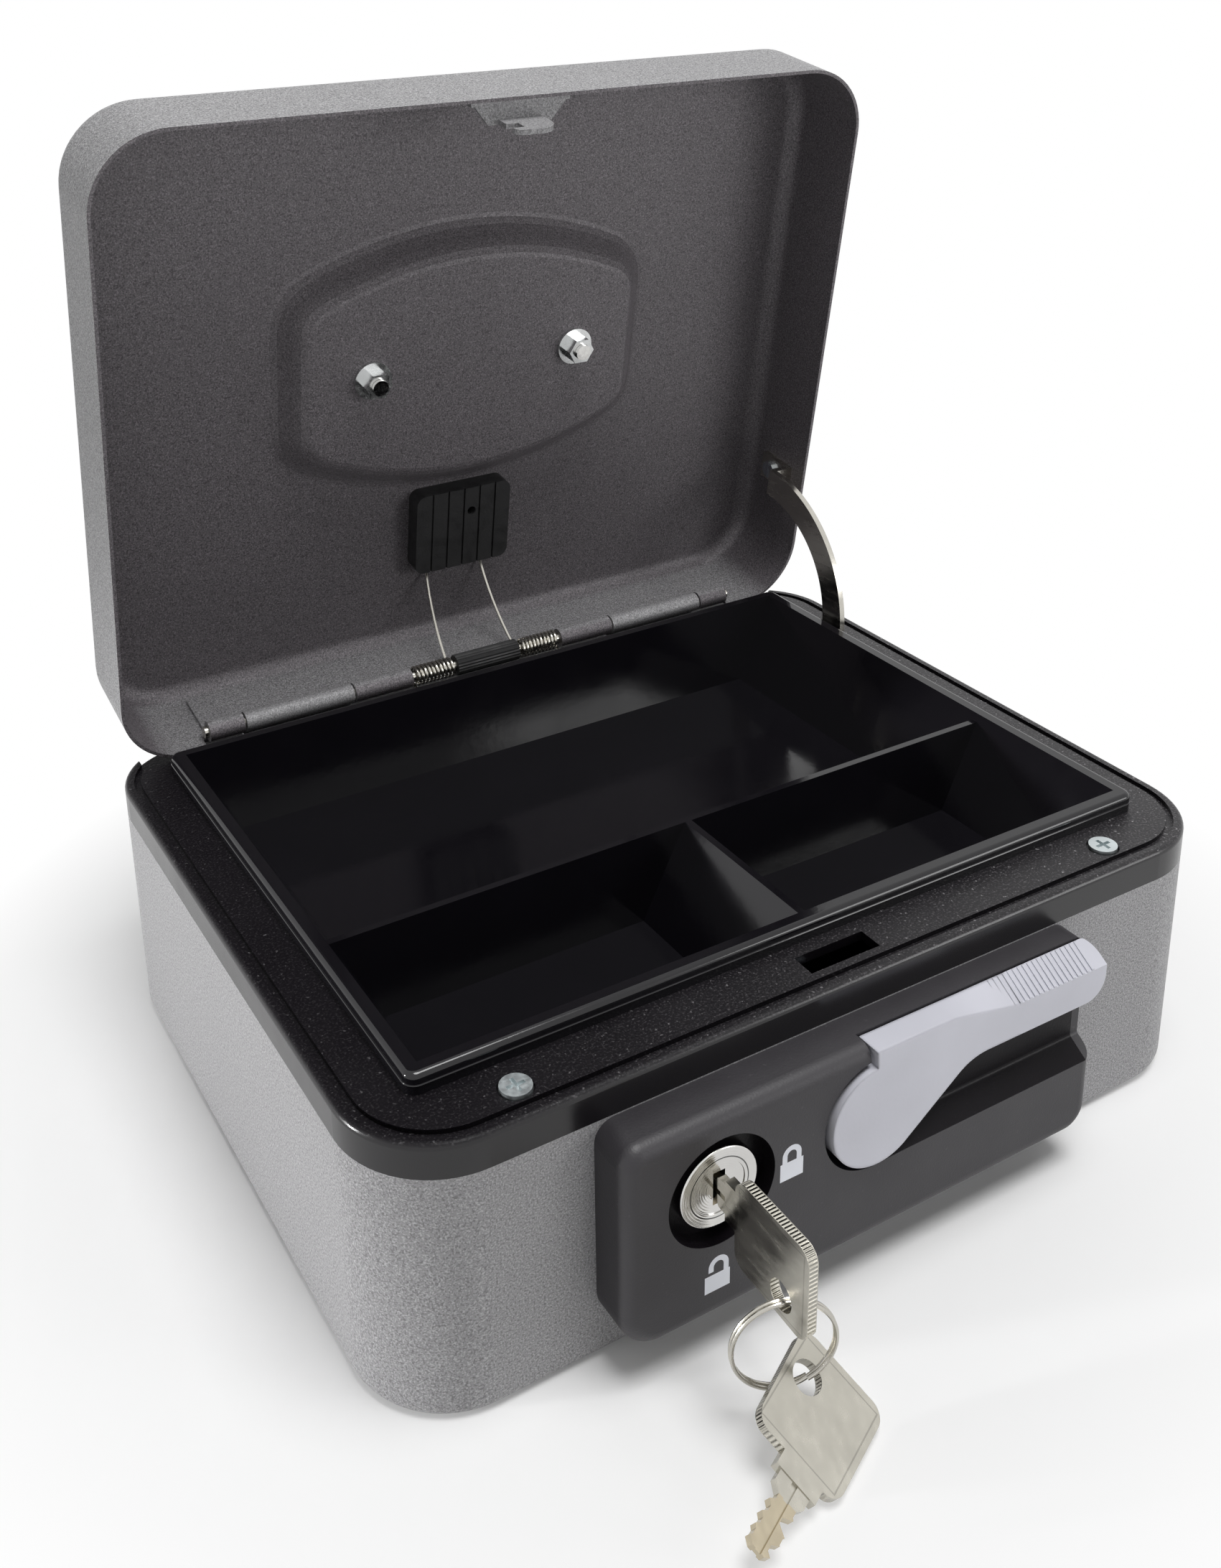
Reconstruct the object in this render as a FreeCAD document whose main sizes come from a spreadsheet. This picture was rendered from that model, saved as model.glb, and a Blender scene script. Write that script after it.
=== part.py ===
import FreeCAD, Part
import math
import os
import Sketcher

# A steel cash box, open, in millimetres: front at -Y, up +Z, origin under the body's middle.
# Pieces of the lid are drawn on the closed box and then swung open about the hinge pin.
Vector = FreeCAD.Vector
Rotation = FreeCAD.Rotation
TINY = 0.001

doc = FreeCAD.newDocument("cash_box")
sheet = doc.addObject("Spreadsheet::Sheet", "sizes")

# Driving dimensions: alias, value, meaning
SIZES = (
    ("box_width", 200, "outside width of the body"),
    ("box_depth", 160, "outside depth of the body"),
    ("body_height", 60, "height of the deck"),
    ("corner_radius", 20, "plan radius of the body's corners"),
    ("foot_radius", 3, "radius round the body's floor"),
    ("sheet_wall", 1, "body sheet"),
    ("band_height", 7, "height of the frame's outer band"),
    ("band_wall", 2.4, "thickness of the frame's outer band, with its clearance"),
    ("band_edge", 1.2, "rounding of the band's upper edge"),
    ("deck_wall", 2, "thickness of the deck"),
    ("flange_margin", 2.5, "step between the flange's window and the deck's window"),
    ("groove_depth", 1, "depth of the lid groove"),
    ("groove_gap", 0.4, "clearance between the lid and its groove"),
    ("gap", 0.3, "clearance between pieces that pass each other"),
    ("fit", 0.05, "radial running clearance"),
    ("lid_inset", 2.6, "lid wall's inset from the body's side"),
    ("lid_wall", 0.8, "lid sheet"),
    ("lid_depth", 25, "depth of the lid"),
    ("lid_crown", 5, "radius round the lid's top"),
    ("open_angle", 80, "how far the lid stands open"),
    ("recess_half", 51.2, "half width of the pressed recess"),
    ("recess_side", 22.4, "half length of the recess's straight sides"),
    ("recess_bow", 45.2, "half depth of the recess at its middle"),
    ("recess_flank", 9, "width of the recess's sloping flank"),
    ("recess_depth", 7.6, "depth of the recess"),
    ("recess_corner", 15, "radius of the recess's corners"),
    ("recess_round", 101, "radius of the recess's bowed sides"),
    ("recess_shift", 5.4, "how far the recess sits towards the front"),
    ("pin_radius", 1.5, "hinge pin"),
    ("knuckle_radius", 2.5, "outside of the hinge knuckles"),
    ("leaf_wall", 1, "hinge sheet"),
    ("leaf_inset", 20.6, "end of the lid's hinge leaf, from the lid's wall"),
    ("slot_near", 37.8, "inner end of the slot for a body knuckle"),
    ("slot_end", 8.8, "end of the lid's hinge leaf past the slot for a body knuckle"),
    ("slot_rise", 3.5, "height of the slot above the pin"),
    ("knuckle_play", 0.5, "end play between knuckles"),
    ("spring_bay", 22, "half width of the bay for the lid spring"),
    ("bay_rise", 2.8, "height of the bay above the pin"),
    ("plate_half", 70, "half width of the body's hinge plate"),
    ("plate_drop", 2.5, "body's hinge plate below the frame's band"),
    ("plate_height", 14.5, "height of the body's hinge plate"),
    ("rivet_radius", 1.5, "hinge and stay rivets"),
    ("rivet_head", 3, "rivet head radius"),
    ("rivet_dome", 1, "rivet head height"),
    ("rivet_near", 22, "place of the inner hinge rivets"),
    ("rivet_far", 58, "place of the outer hinge rivets"),
    ("coil_wire", 0.9, "lid spring wire"),
    ("coil_radius", 2.25, "lid spring, to the middle of the wire"),
    ("coil_near", 10, "inner end of a lid spring coil"),
    ("coil_far", 21, "outer end of a lid spring coil"),
    ("tail_length", 4, "short leg of the lid spring"),
    ("sleeve_radius", 2.8, "ribbed sleeve"),
    ("sleeve_rib", 0.25, "height of the sleeve's ribs"),
    ("pad_half", 13.5, "half width of the rubber pad"),
    ("pad_reach", 23, "distance from the lid's rear wall to the pad"),
    ("pad_length", 23, "length of the pad"),
    ("pad_thick", 5, "thickness of the pad"),
    ("pad_groove", 0.5, "depth of the pad's grooves"),
    ("leg_hold", 3, "length of the spring's leg inside the pad"),
    ("handle_half", 28, "half spacing of the handle's studs"),
    ("handle_y", -6, "place of the handle's studs"),
    ("stud_radius", 2, "handle stud"),
    ("nut_radius", 3.5, "flange nut, across its corners"),
    ("nut_flange", 4.8, "flange nut's washer face"),
    ("nut_height", 3.4, "flange nut, without its washer face"),
    ("washer_thick", 1, "flange nut's washer face"),
    ("lug_radius", 4, "handle lug's base"),
    ("lug_thick", 3, "handle lug's ear"),
    ("pivot_rise", 4.4, "handle pivot above the recess's floor"),
    ("bail_radius", 2.5, "handle wire"),
    ("bail_pin", 1.5, "handle's pivot ends"),
    ("bail_leg", 16, "length of the handle's legs"),
    ("bail_bend", 9, "bend radius of the handle wire"),
    ("bail_out", 6.8, "distance from a stud to the handle's leg"),
    ("stay_inset", 6.6, "inner face of the lid stay, from the lid's wall"),
    ("stay_thick", 1.5, "stay sheet"),
    ("stay_radius", 32, "middle radius of the stay about the pin"),
    ("stay_width", 7.6, "width of the stay"),
    ("stay_rise", 3.2, "height of the stay's bend above the pin"),
    ("tab_height", 10, "height of the stay's riveted tab"),
    ("stay_past", 9.5, "how far the stay's arc runs on past the open angle"),
    ("foot_drop", 5, "top of the stay's stop below the pin, lid open"),
    ("foot_thick", 1.4, "thickness of the stay's stop"),
    ("foot_reach", 3.7, "how far the stop stands out of the stay"),
    ("latch_half", 8.3, "half length of the latch slot"),
    ("latch_back", 8.4, "middle of the latch slot and of the latch parts, behind the front"),
    ("latch_slot", 5.5, "width of the latch slot"),
    ("latch_plate", 1.2, "sheet of the hook and slide"),
    ("hook_root", 12.5, "half width of the hook at the lip"),
    ("hook_tip", 8, "half width of the hook's shelf at its end"),
    ("hook_lift", 0.6, "hook's shelf above the deck"),
    ("tongue_half", 5.5, "half width of the hook's tongue"),
    ("tongue_drop", 8, "reach of the tongue below the deck"),
    ("notch_drop", 3, "top of the hook's notch below the deck"),
    ("notch_height", 3, "height of the hook's notch"),
    ("notch_depth", 3, "depth of the hook's notch"),
    ("latch_bite", 1.9, "overlap of the slide's nose and the hook"),
    ("screw_inset", 29, "frame's screws, from the body's side"),
    ("screw_back", 7.5, "frame's screws, behind the front"),
    ("screw_radius", 1.5, "screw shank"),
    ("screw_head", 3, "screw head radius"),
    ("screw_rise", 1.4, "screw head height"),
    ("screw_sink", 0.8, "recess round the frame's screws"),
    ("screw_reach", 8, "screw length under its head"),
    ("cam_reach", 5, "length of the cam screw under its head"),
    ("cross_width", 0.8, "width of the screws' cross recess"),
    ("margin_side", 12, "deck beside the tray"),
    ("margin_front", 14.5, "deck in front of the tray"),
    ("margin_rear", 13.5, "deck behind the tray"),
    ("tray_rim", 4.2, "height of the tray's rim"),
    ("rim_edge", 1.2, "rounding of the rim"),
    ("rim_width", 3.2, "width of the rim"),
    ("tray_wall", 1.4, "tray wall"),
    ("tray_depth", 22, "depth of the tray from the top of its rim"),
    ("tray_slope", 11.5, "lean of the tray's side walls"),
    ("tray_draft", 2.3, "lean of the tray's front and rear walls"),
    ("divider_y", -20, "place of the long divider"),
    ("divider_drop", 1.7, "top of the dividers below the rim"),
    ("divider_half", 0.8, "half thickness of a divider's top"),
    ("divider_draft", 1, "lean of the long divider's faces"),
    ("housing_left", -60, "left end of the lock housing"),
    ("housing_right", 53.5, "right end of the lock housing"),
    ("housing_low", 8.3, "lower edge of the lock housing"),
    ("housing_out", 10, "how far the housing stands out of the body"),
    ("housing_round", 3, "rounding of the housing's front edges"),
    ("housing_wall", 2, "housing wall"),
    ("pocket_depth", 4.8, "depth of the lever's pocket"),
    ("ledge_drop", 3.1, "fall of the pocket's ledge to the front"),
    ("boss_radius", 3.5, "screw boss"),
    ("boss_left", -52, "left housing screw"),
    ("boss_right", 46, "right housing screw"),
    ("boss_low", 15, "height of the housing screws"),
    ("lock_x", -39.6, "lock axis"),
    ("lock_drop", 16.4, "lock axis below the housing's top"),
    ("recess_radius", 11.5, "dish round the lock"),
    ("dish_depth", 4, "depth of that dish"),
    ("flange_radius", 8.4, "lock's chromed face"),
    ("flange_thick", 3, "thickness of that face"),
    ("barrel_radius", 7.5, "lock body"),
    ("barrel_length", 13.2, "lock body behind its face"),
    ("lock_nut_radius", 11, "lock nut, across its corners"),
    ("lock_nut_thick", 3.5, "lock nut"),
    ("plug_radius", 5.5, "turning plug"),
    ("plug_sink", 0.2, "plug's face below the lock's face"),
    ("cam_length", 14, "lock cam, from the axis to its tip"),
    ("cam_half", 3.5, "half width of the lock cam"),
    ("cam_thick", 1.6, "lock cam sheet"),
    ("key_thick", 2, "key blank"),
    ("bow_length", 20.5, "key bow"),
    ("bow_high", 7.5, "key bow above the blade's middle"),
    ("bow_low", 11.9, "key bow below the blade's middle"),
    ("bow_taper", 1, "how far the bow's lower edge rises to the blade"),
    ("bow_corner", 3, "rounding of the bow"),
    ("shoulder_half", 4.32, "half height of the blade's shoulder"),
    ("key_length", 37, "whole key"),
    ("blade_half", 3.2, "half height of the blade"),
    ("hole_along", 7.2, "key hole, from the end of the bow"),
    ("hole_below", 7, "key hole, below the blade's middle"),
    ("hole_radius", 3, "key hole"),
    ("key_show", 6, "blade between the lock's face and the bow"),
    ("ring_radius", 9.4, "key ring, to the middle of the wire"),
    ("ring_wire", 0.8, "key ring wire radius"),
    ("ring_turn", -20, "ring's plane about the vertical, from the X axis"),
    ("spare_turn", 207, "heading of the second key, from the X axis"),
    ("spare_roll", -36, "second key's turn about its own length"),
    ("spare_round", 26, "place of the second key round the ring, from the ring's foot"),
    ("spare_shift", 0.5, "ring's wire off the middle of the second key's hole"),
    ("pivot_x", -4.6, "lever pivot"),
    ("pivot_drop", 15.1, "lever pivot below the housing's top"),
    ("disc_radius", 11, "lever's round end"),
    ("pocket_gap", 1.2, "gap between the lever and its pocket"),
    ("lever_thick", 5.5, "lever"),
    ("lever_proud", 1, "lever in front of the housing"),
    ("lever_drop", 0.5, "lever's top below the housing's top"),
    ("lever_tip", 53.6, "lever's tip"),
    ("arm_deep", 11, "depth of the lever's arm"),
    ("tip_round", 2.5, "rounding of the lever's upper corner"),
    ("chin_round", 5, "rounding under the lever's tip"),
    ("crook_round", 12, "rounding where the arm's underside turns down"),
    ("crook_angle", 50, "where the underside leaves the round end, below the level"),
    ("lever_crook", 18, "place where the arm's underside turns down"),
    ("thumb_start", 13, "start of the thumb slope"),
    ("thumb_full", 29.7, "place where the thumb slope is full"),
    ("thumb_drop", 3.6, "fall of the thumb slope to the front"),
    ("rib_first", 26, "first thumb rib"),
    ("rib_step", 1.3, "spacing of the thumb ribs"),
    ("rib_rise", 0.35, "height of the thumb ribs"),
    ("shaft_radius", 3, "lever's shaft"),
    ("crank_arm", 12, "crank from pivot to pin"),
    ("crank_thick", 2, "crank sheet"),
    ("crank_pin", 1.5, "crank pin radius"),
    ("crank_hub", 5.5, "crank hub radius"),
    ("slide_left", -24.9, "left end of the slide"),
    ("slide_right", 12, "right end of the slide"),
    ("slide_half", 4, "half height of the slide's bar"),
    ("lug_width", 3.9, "width of the slide's locking lug"),
    ("lug_height", 9.5, "height of the locking lug above the bar"),
    ("arm_width", 5, "width of the slide's hook arm"),
    ("arm_gap", 1.5, "distance from the arm to the hook's tongue"),
    ("guide_left", -20, "left guide"),
    ("guide_right", 4, "right guide"),
    ("guide_width", 5, "width of a guide"),
    ("guide_wall", 2, "wall of a guide round the slide"),
    ("guide_drop", 6.1, "lower edge of the guides below the slide"),
    ("post_x", 24.5, "post of the latch spring"),
    ("post_width", 4, "post of the latch spring"),
    ("pull_wire", 0.6, "latch spring wire"),
    ("pull_radius", 2.2, "latch spring, to the middle of the wire"),
)
THUMB_RIBS = 19
SLEEVE_RIBS = 22
PAD_GROOVES = 5
LID_TURNS = 7
PULL_TURNS = 8

for row, (alias, number, meaning) in enumerate(SIZES, 1):
    sheet.set(f"A{row}", meaning)
    sheet.set(f"B{row}", str(number))
    sheet.setAlias(f"B{row}", alias)
doc.recompute()


class Size:
    """A length that carries both its value and its formula in sheet names."""

    def __init__(self, value, text):
        self.value = float(value)
        self.text = text

    def __float__(self):
        return self.value

    def __neg__(self):
        return Size(-self.value, f"(-{self.text})")

    def __add__(self, other):
        other = as_size(other)
        return Size(self.value + other.value, f"({self.text} + {other.text})")

    def __sub__(self, other):
        other = as_size(other)
        return Size(self.value - other.value, f"({self.text} - {other.text})")

    def __mul__(self, other):
        other = as_size(other)
        return Size(self.value * other.value, f"({self.text} * {other.text})")

    def __truediv__(self, other):
        other = as_size(other)
        return Size(self.value / other.value, f"({self.text} / {other.text})")

    def __radd__(self, other):
        return as_size(other) + self

    def __rsub__(self, other):
        return as_size(other) - self

    def __rmul__(self, other):
        return as_size(other) * self


def as_size(length):
    if isinstance(length, Size):
        return length
    return Size(length, f"({length})")


def root(length):
    return Size(math.sqrt(length.value), f"sqrt({length.text})")


def sine(angle):
    return Size(math.sin(math.radians(angle.value)), f"sin({angle.text})")


def cosine(angle):
    return Size(math.cos(math.radians(angle.value)), f"cos({angle.text})")


class Sizes:
    """The sheet's driving dimensions by name."""

    def __init__(self):
        for alias, _, _ in SIZES:
            setattr(self, alias, Size(sheet.get(alias), f"sizes.{alias}"))


S = Sizes()
NODES = []


def both(half):
    """A span that lies evenly about zero."""
    half = as_size(half)
    return -half, half


def about(middle, half):
    """A span that lies evenly about a place."""
    middle = as_size(middle)
    return middle - half, middle + half


def bind(thing, path, length):
    thing.setExpression(path, as_size(length).text)


def node(made):
    """Marks a finished piece, whose label names its file."""
    NODES.append(made)
    return made


# Solids
ALONG = {"x": Rotation(Vector(0, 1, 0), 90), "y": Rotation(Vector(1, 0, 0), -90), "z": Rotation()}
ACROSS = {
    "x": (Vector(0, 1, 0), Vector(0, 0, 1)),
    "y": (Vector(1, 0, 0), Vector(0, 0, 1)),
    "z": (Vector(1, 0, 0), Vector(0, 1, 0)),
}
DIRECTION = {"x": Vector(1, 0, 0), "y": Vector(0, 1, 0), "z": Vector(0, 0, 1)}


def block(name, x, y, z):
    """A plain block between two corners."""
    made = doc.addObject("Part::Box", name)
    for side, letter, (low, high) in zip(("Length", "Width", "Height"), "xyz", (x, y, z)):
        bind(made, side, as_size(high) - low)
        bind(made, f"Placement.Base.{letter}", low)
    return made


def rod(name, axis, across, span, radius):
    """A round bar along one axis, placed by its two other coordinates."""
    made = doc.addObject("Part::Cylinder", name)
    made.Placement = FreeCAD.Placement(Vector(), ALONG[axis])
    bind(made, "Radius", radius)
    bind(made, "Height", as_size(span[1]) - span[0])
    bind(made, f"Placement.Base.{axis}", span[0])
    for letter, place in zip("xyz".replace(axis, ""), across):
        bind(made, f"Placement.Base.{letter}", place)
    return made


def edge_names(shape, test):
    return [f"Edge{place}" for place, edge in enumerate(shape.Edges, 1) if test(edge.BoundBox)]


def slab(name, x, y, z, radius, foot=None, crown=None):
    """A block with rounded upright edges, and with rounded rims where a radius is given."""
    width = as_size(x[1]) - x[0]
    depth = as_size(y[1]) - y[0]
    height = as_size(z[1]) - z[0]
    body = doc.addObject("PartDesign::Body", name)
    sketch = body.newObject("Sketcher::SketchObject", name + "_plan")
    plan = [plane for plane in body.Origin.OriginFeatures if plane.Role == "XY_Plane"]
    sketch.AttachmentSupport = [(plan[0], "")]
    sketch.MapMode = "FlatFace"
    right = float(width) / 2
    rear = float(depth) / 2
    corners = [Vector(-right, -rear), Vector(right, -rear), Vector(right, rear), Vector(-right, rear)]
    for place in range(4):
        sketch.addGeometry(Part.LineSegment(corners[place], corners[(place + 1) % 4]))
    for place in range(4):
        sketch.addConstraint(Sketcher.Constraint("Coincident", place, 2, (place + 1) % 4, 1))
        sketch.addConstraint(Sketcher.Constraint("Vertical" if place % 2 else "Horizontal", place))
    sketch.addConstraint(Sketcher.Constraint("Symmetric", 0, 1, 1, 2, -1, 1))
    for kind, side, length in (("DistanceX", 0, width), ("DistanceY", 1, depth)):
        place = sketch.addConstraint(Sketcher.Constraint(kind, side, 1, side, 2, float(length)))
        sketch.renameConstraint(place, kind)
        bind(sketch, f"Constraints.{kind}", length)
    made = body.newObject("PartDesign::Pad", name + "_pad")
    made.Profile = sketch
    bind(made, "Length", height)
    doc.recompute()
    rounds = [(radius, lambda box: box.XLength + box.YLength < TINY)]
    if foot is not None:
        rounds.append((foot, lambda box: box.ZMax < TINY))
    if crown is not None:
        rounds.append((crown, lambda box: box.ZMin > float(height) - TINY))
    for length, test in rounds:
        rounded = body.newObject("PartDesign::Fillet", name + "_round")
        rounded.Base = (made, edge_names(made.Shape, test))
        bind(rounded, "Radius", length)
        doc.recompute()
        made = rounded
    bind(body, "Placement.Base.x", (as_size(x[0]) + x[1]) / 2)
    bind(body, "Placement.Base.y", (as_size(y[0]) + y[1]) / 2)
    bind(body, "Placement.Base.z", z[0])
    return body


def frustum(name, z, low, high):
    """A four-sided block whose x and y limits change from its low face to its high face."""
    made = doc.addObject("Part::Wedge", name)
    made.Placement = FreeCAD.Placement(Vector(), Rotation(Vector(1, 0, 0), 90))
    limits = {"Ymin": z[0], "Ymax": z[1]}
    for mark, (x, y) in (("", low), ("2", high)):
        limits[f"X{mark}min"] = x[0]
        limits[f"X{mark}max"] = x[1]
        limits[f"Z{mark}min"] = -as_size(y[1])
        limits[f"Z{mark}max"] = -as_size(y[0])
    for side, length in limits.items():
        bind(made, side, length)
    return made


def outline(axis, corners):
    """A closed wire across an axis through corners (u, v), some with a rounding radius."""
    u_side, v_side = ACROSS[axis]
    points = [u_side * float(corner[0]) + v_side * float(corner[1]) for corner in corners]
    radii = [float(corner[2]) if len(corner) > 2 else 0.0 for corner in corners]
    runs = []
    for place, point in enumerate(points):
        back = (points[place - 1] - point).normalize()
        ahead = (points[(place + 1) % len(points)] - point).normalize()
        if radii[place] == 0.0:
            runs.append((point, None, point))
            continue
        half = back.getAngle(ahead) / 2
        middle = (back + ahead).normalize()
        reach = radii[place] / math.tan(half)
        inward = radii[place] / math.sin(half) - radii[place]
        runs.append((point + back * reach, point + middle * inward, point + ahead * reach))
    edges = []
    for place, (start, middle, end) in enumerate(runs):
        if middle is not None:
            edges.append(Part.Arc(start, middle, end).toShape())
        after = runs[(place + 1) % len(runs)][0]
        if end.distanceToPoint(after) > TINY:
            edges.append(Part.LineSegment(end, after).toShape())
    return Part.Wire(edges)


def plate(name, axis, corners, span):
    """A flat piece: an outline across one axis, drawn out along it."""
    face = doc.addObject("Part::Feature", name + "_outline")
    face.Shape = Part.Face(outline(axis, corners))
    bind(face, f"Placement.Base.{axis}", span[0])
    made = doc.addObject("Part::Extrusion", name)
    made.Base = face
    made.DirMode = "Custom"
    made.Dir = DIRECTION[axis]
    made.Solid = True
    bind(made, "LengthFwd", as_size(span[1]) - span[0])
    return made


def solid(name, shape):
    """A piece whose shape is worked out directly."""
    made = doc.addObject("Part::Feature", name)
    made.Shape = shape
    return made


def loft(name, wires):
    return solid(name, Part.makeLoft(wires, True, True))


def fuse(name, *pieces):
    made = doc.addObject("Part::MultiFuse", name)
    made.Shapes = pieces
    made.Refine = True
    return made


def cut(name, base, *tools):
    made = doc.addObject("Part::Cut", name)
    made.Base = base
    made.Tool = tools[0] if len(tools) == 1 else fuse(name + "_tools", *tools)
    made.Refine = True
    return made


def common(name, base, tool):
    made = doc.addObject("Part::Common", name)
    made.Base = base
    made.Tool = tool
    return made


def group(name, *pieces):
    made = doc.addObject("Part::Compound", name)
    made.Links = pieces
    return made


def rounded(name, base, test, radius):
    """Rounds the edges whose box passes a test."""
    doc.recompute()
    made = doc.addObject("Part::Fillet", name)
    made.Base = base
    chosen = [place for place, edge in enumerate(base.Shape.Edges, 1) if test(edge.BoundBox)]
    made.Edges = [(place, float(radius), float(radius)) for place in chosen]
    return made


def screw(name, axis, across, seat, reach):
    """A cross-recess screw whose head stands on its seat and whose shank reaches below it."""
    top = seat + S.screw_rise
    deep = top - S.screw_rise * 0.6
    head = rod(name + "_head", axis, across, (seat, top), S.screw_head)
    shank = rod(name + "_shank", axis, across, (seat - reach, seat), S.screw_radius)
    slots = []
    for long_side in (0, 1):
        halves = [S.cross_width / 2, S.cross_width / 2]
        halves[long_side] = S.screw_head * 0.6
        spans = dict(zip("xyz".replace(axis, ""), (about(*side) for side in zip(across, halves))))
        spans[axis] = (deep, top + S.screw_rise)
        slots.append(block(name + "_slot", *(spans[letter] for letter in "xyz")))
    return cut(name, fuse(name + "_blank", head, shank), *slots)


def ordered(one, other):
    return (one, other) if float(one) < float(other) else (other, one)


# Spring wire: arcs that follow a helix, and a round section drawn along them
def arc(start, heading, end):
    """The arc that leaves start along heading and meets end."""
    chord = end - start
    along = chord * (1 / chord.Length)
    lean = heading.getAngle(along)
    side = (heading - along * heading.dot(along)).normalize()
    middle = start + chord * 0.5 + side * (chord.Length / 2 * math.tan(lean / 2))
    return Part.Arc(start, middle, end).toShape()


def biarc(start, leave, end, arrive):
    """Two arcs that join two points along two given headings."""
    step = end - start
    both_ways = leave + arrive
    spread = 2 * (1 - leave.dot(arrive))
    forward = step.dot(both_ways)
    reach = (math.sqrt(forward ** 2 + spread * step.dot(step)) - forward) / spread
    meet = (start + leave * reach + end - arrive * reach) * 0.5
    second = arc(end, arrive * -1, meet)
    return [arc(start, leave, meet), second]


def helix(middle, radius, first, last, x_span):
    """Arcs of a quarter turn along a helix about X; angles in radians from +Y towards +Z."""
    climb = (x_span[1] - x_span[0]) / (last - first)
    steps = math.ceil((last - first) / (math.pi / 2))
    places = []
    for step in range(steps + 1):
        angle = first + (last - first) * step / steps
        along = x_span[0] + climb * (angle - first)
        point = Vector(along, radius * math.cos(angle), radius * math.sin(angle))
        heading = Vector(climb, -radius * math.sin(angle), radius * math.cos(angle)).normalize()
        places.append((point + middle, heading))
    edges = []
    for (start, leave), (end, arrive) in zip(places, places[1:]):
        edges += biarc(start, leave, end, arrive)
    return places[0], places[-1], edges


def wire_tube(edges, start, heading, radius):
    section = Part.Wire(Part.makeCircle(radius, start, heading))
    return Part.Wire(Part.__sortEdges__(edges)).makePipeShell([section], True, False)


# Places that several pieces share
half_x = S.box_width / 2
half_y = S.box_depth / 2
band_low = S.body_height - S.band_height
deck_low = S.body_height - S.deck_wall
housing_high = band_low - S.gap
lock_z = housing_high - S.lock_drop
pivot_z = housing_high - S.pivot_drop
lever_top = housing_high - S.lever_drop
lever_under = lever_top - S.arm_deep
plate_high = band_low - S.plate_drop
plate_low = plate_high - S.plate_height
neck_x = half_x - S.band_wall
neck_y = half_y - S.band_wall
neck_radius = S.corner_radius - S.band_wall
mouth_x = neck_x - S.sheet_wall
mouth_y = neck_y - S.sheet_wall
front = -half_y
front_inside = front + S.sheet_wall
rear_inside = half_y - S.sheet_wall
latch_y = front + S.latch_back
screw_x = half_x - S.screw_inset
screw_y = front + S.screw_back
tray_half = half_x - S.margin_side
tray_front = front + S.margin_front
tray_rear = half_y - S.margin_rear

lid_x = half_x - S.lid_inset
lid_y = half_y - S.lid_inset
lid_radius = S.corner_radius - S.lid_inset
lid_inner_x = lid_x - S.lid_wall
lid_inner_y = lid_y - S.lid_wall
lip_z = S.body_height - S.groove_depth + S.groove_gap
lid_top = lip_z + S.lid_depth
panel_z = lid_top - S.lid_wall
recess_floor = lid_top - S.recess_depth
plateau_z = recess_floor - S.lid_wall

hinge_y = lid_inner_y - S.knuckle_radius
hinge_z = S.body_height + S.knuckle_radius + S.gap
lip_swing = root((lid_y - hinge_y) * (lid_y - hinge_y) + (hinge_z - lip_z) * (hinge_z - lip_z))
trough_z = hinge_z - lip_swing - S.gap
trough_front = hinge_y - lip_swing - S.gap
corner_start = hinge_y - S.knuckle_radius - lid_y + lid_radius
trough_half = lid_x - lid_radius + root(lid_radius * lid_radius - corner_start * corner_start) + S.gap
leaf_span = (lid_inner_y - S.leaf_wall, lid_inner_y)
leaf_half = lid_inner_x - S.leaf_inset
slot_far = leaf_half - S.slot_end
bore_radius = S.pin_radius + S.fit

stay_span = (lid_inner_x - S.stay_inset, lid_inner_x - S.stay_inset + S.stay_thick)
stay_near = hinge_y - S.stay_radius + S.stay_width / 2
stay_far = hinge_y - S.stay_radius - S.stay_width / 2
latch_span = about(latch_y, S.latch_plate / 2)

wall_open = S.tray_wall + S.gap
inner_half = tray_half - S.rim_width
inner_front = tray_front + S.rim_width
inner_rear = tray_rear - S.rim_width
rim_top = S.body_height + S.tray_rim
tray_floor = rim_top - S.tray_depth
deck_share = S.tray_rim / S.tray_depth
window_x = inner_half - S.tray_slope * deck_share + 1.3 * wall_open
window_front = inner_front + S.tray_draft * deck_share - wall_open
window_rear = inner_rear - S.tray_draft * deck_share + wall_open

face_y = front - S.housing_out
pocket_y = face_y + S.pocket_depth
cavity_y = pocket_y + S.housing_wall
lever_front = face_y - S.lever_proud
lever_rear = lever_front + S.lever_thick
lock_face = face_y + S.dish_depth - S.flange_thick
barrel_end = lock_face + S.flange_thick + S.barrel_length
plug_end = barrel_end + S.groove_gap
slide_z = pivot_z - S.crank_arm
guide_low = slide_z - S.slide_half - S.guide_drop
BOSSES = ((S.boss_left, S.boss_low), (S.boss_right, S.boss_low))
RIVETS = (-S.rivet_far, -S.rivet_near, S.rivet_near, S.rivet_far)
rivet_z = (plate_low + plate_high) / 2


def on_lid(made):
    """Swings a piece drawn on the closed box about the hinge pin to where the lid stands open."""
    made.Placement = FreeCAD.Placement(Vector(), Rotation(Vector(-1, 0, 0), float(S.open_angle)))
    across = cosine(S.open_angle)
    upward = sine(S.open_angle)
    bind(made, "Placement.Rotation.Angle", S.open_angle)
    bind(made, "Placement.Base.y", hinge_y - hinge_y * across - hinge_z * upward)
    bind(made, "Placement.Base.z", hinge_z + hinge_y * upward - hinge_z * across)
    return made


def mirrored_spans(near, far):
    return (-as_size(far), -as_size(near)), (as_size(near), as_size(far))


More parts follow.
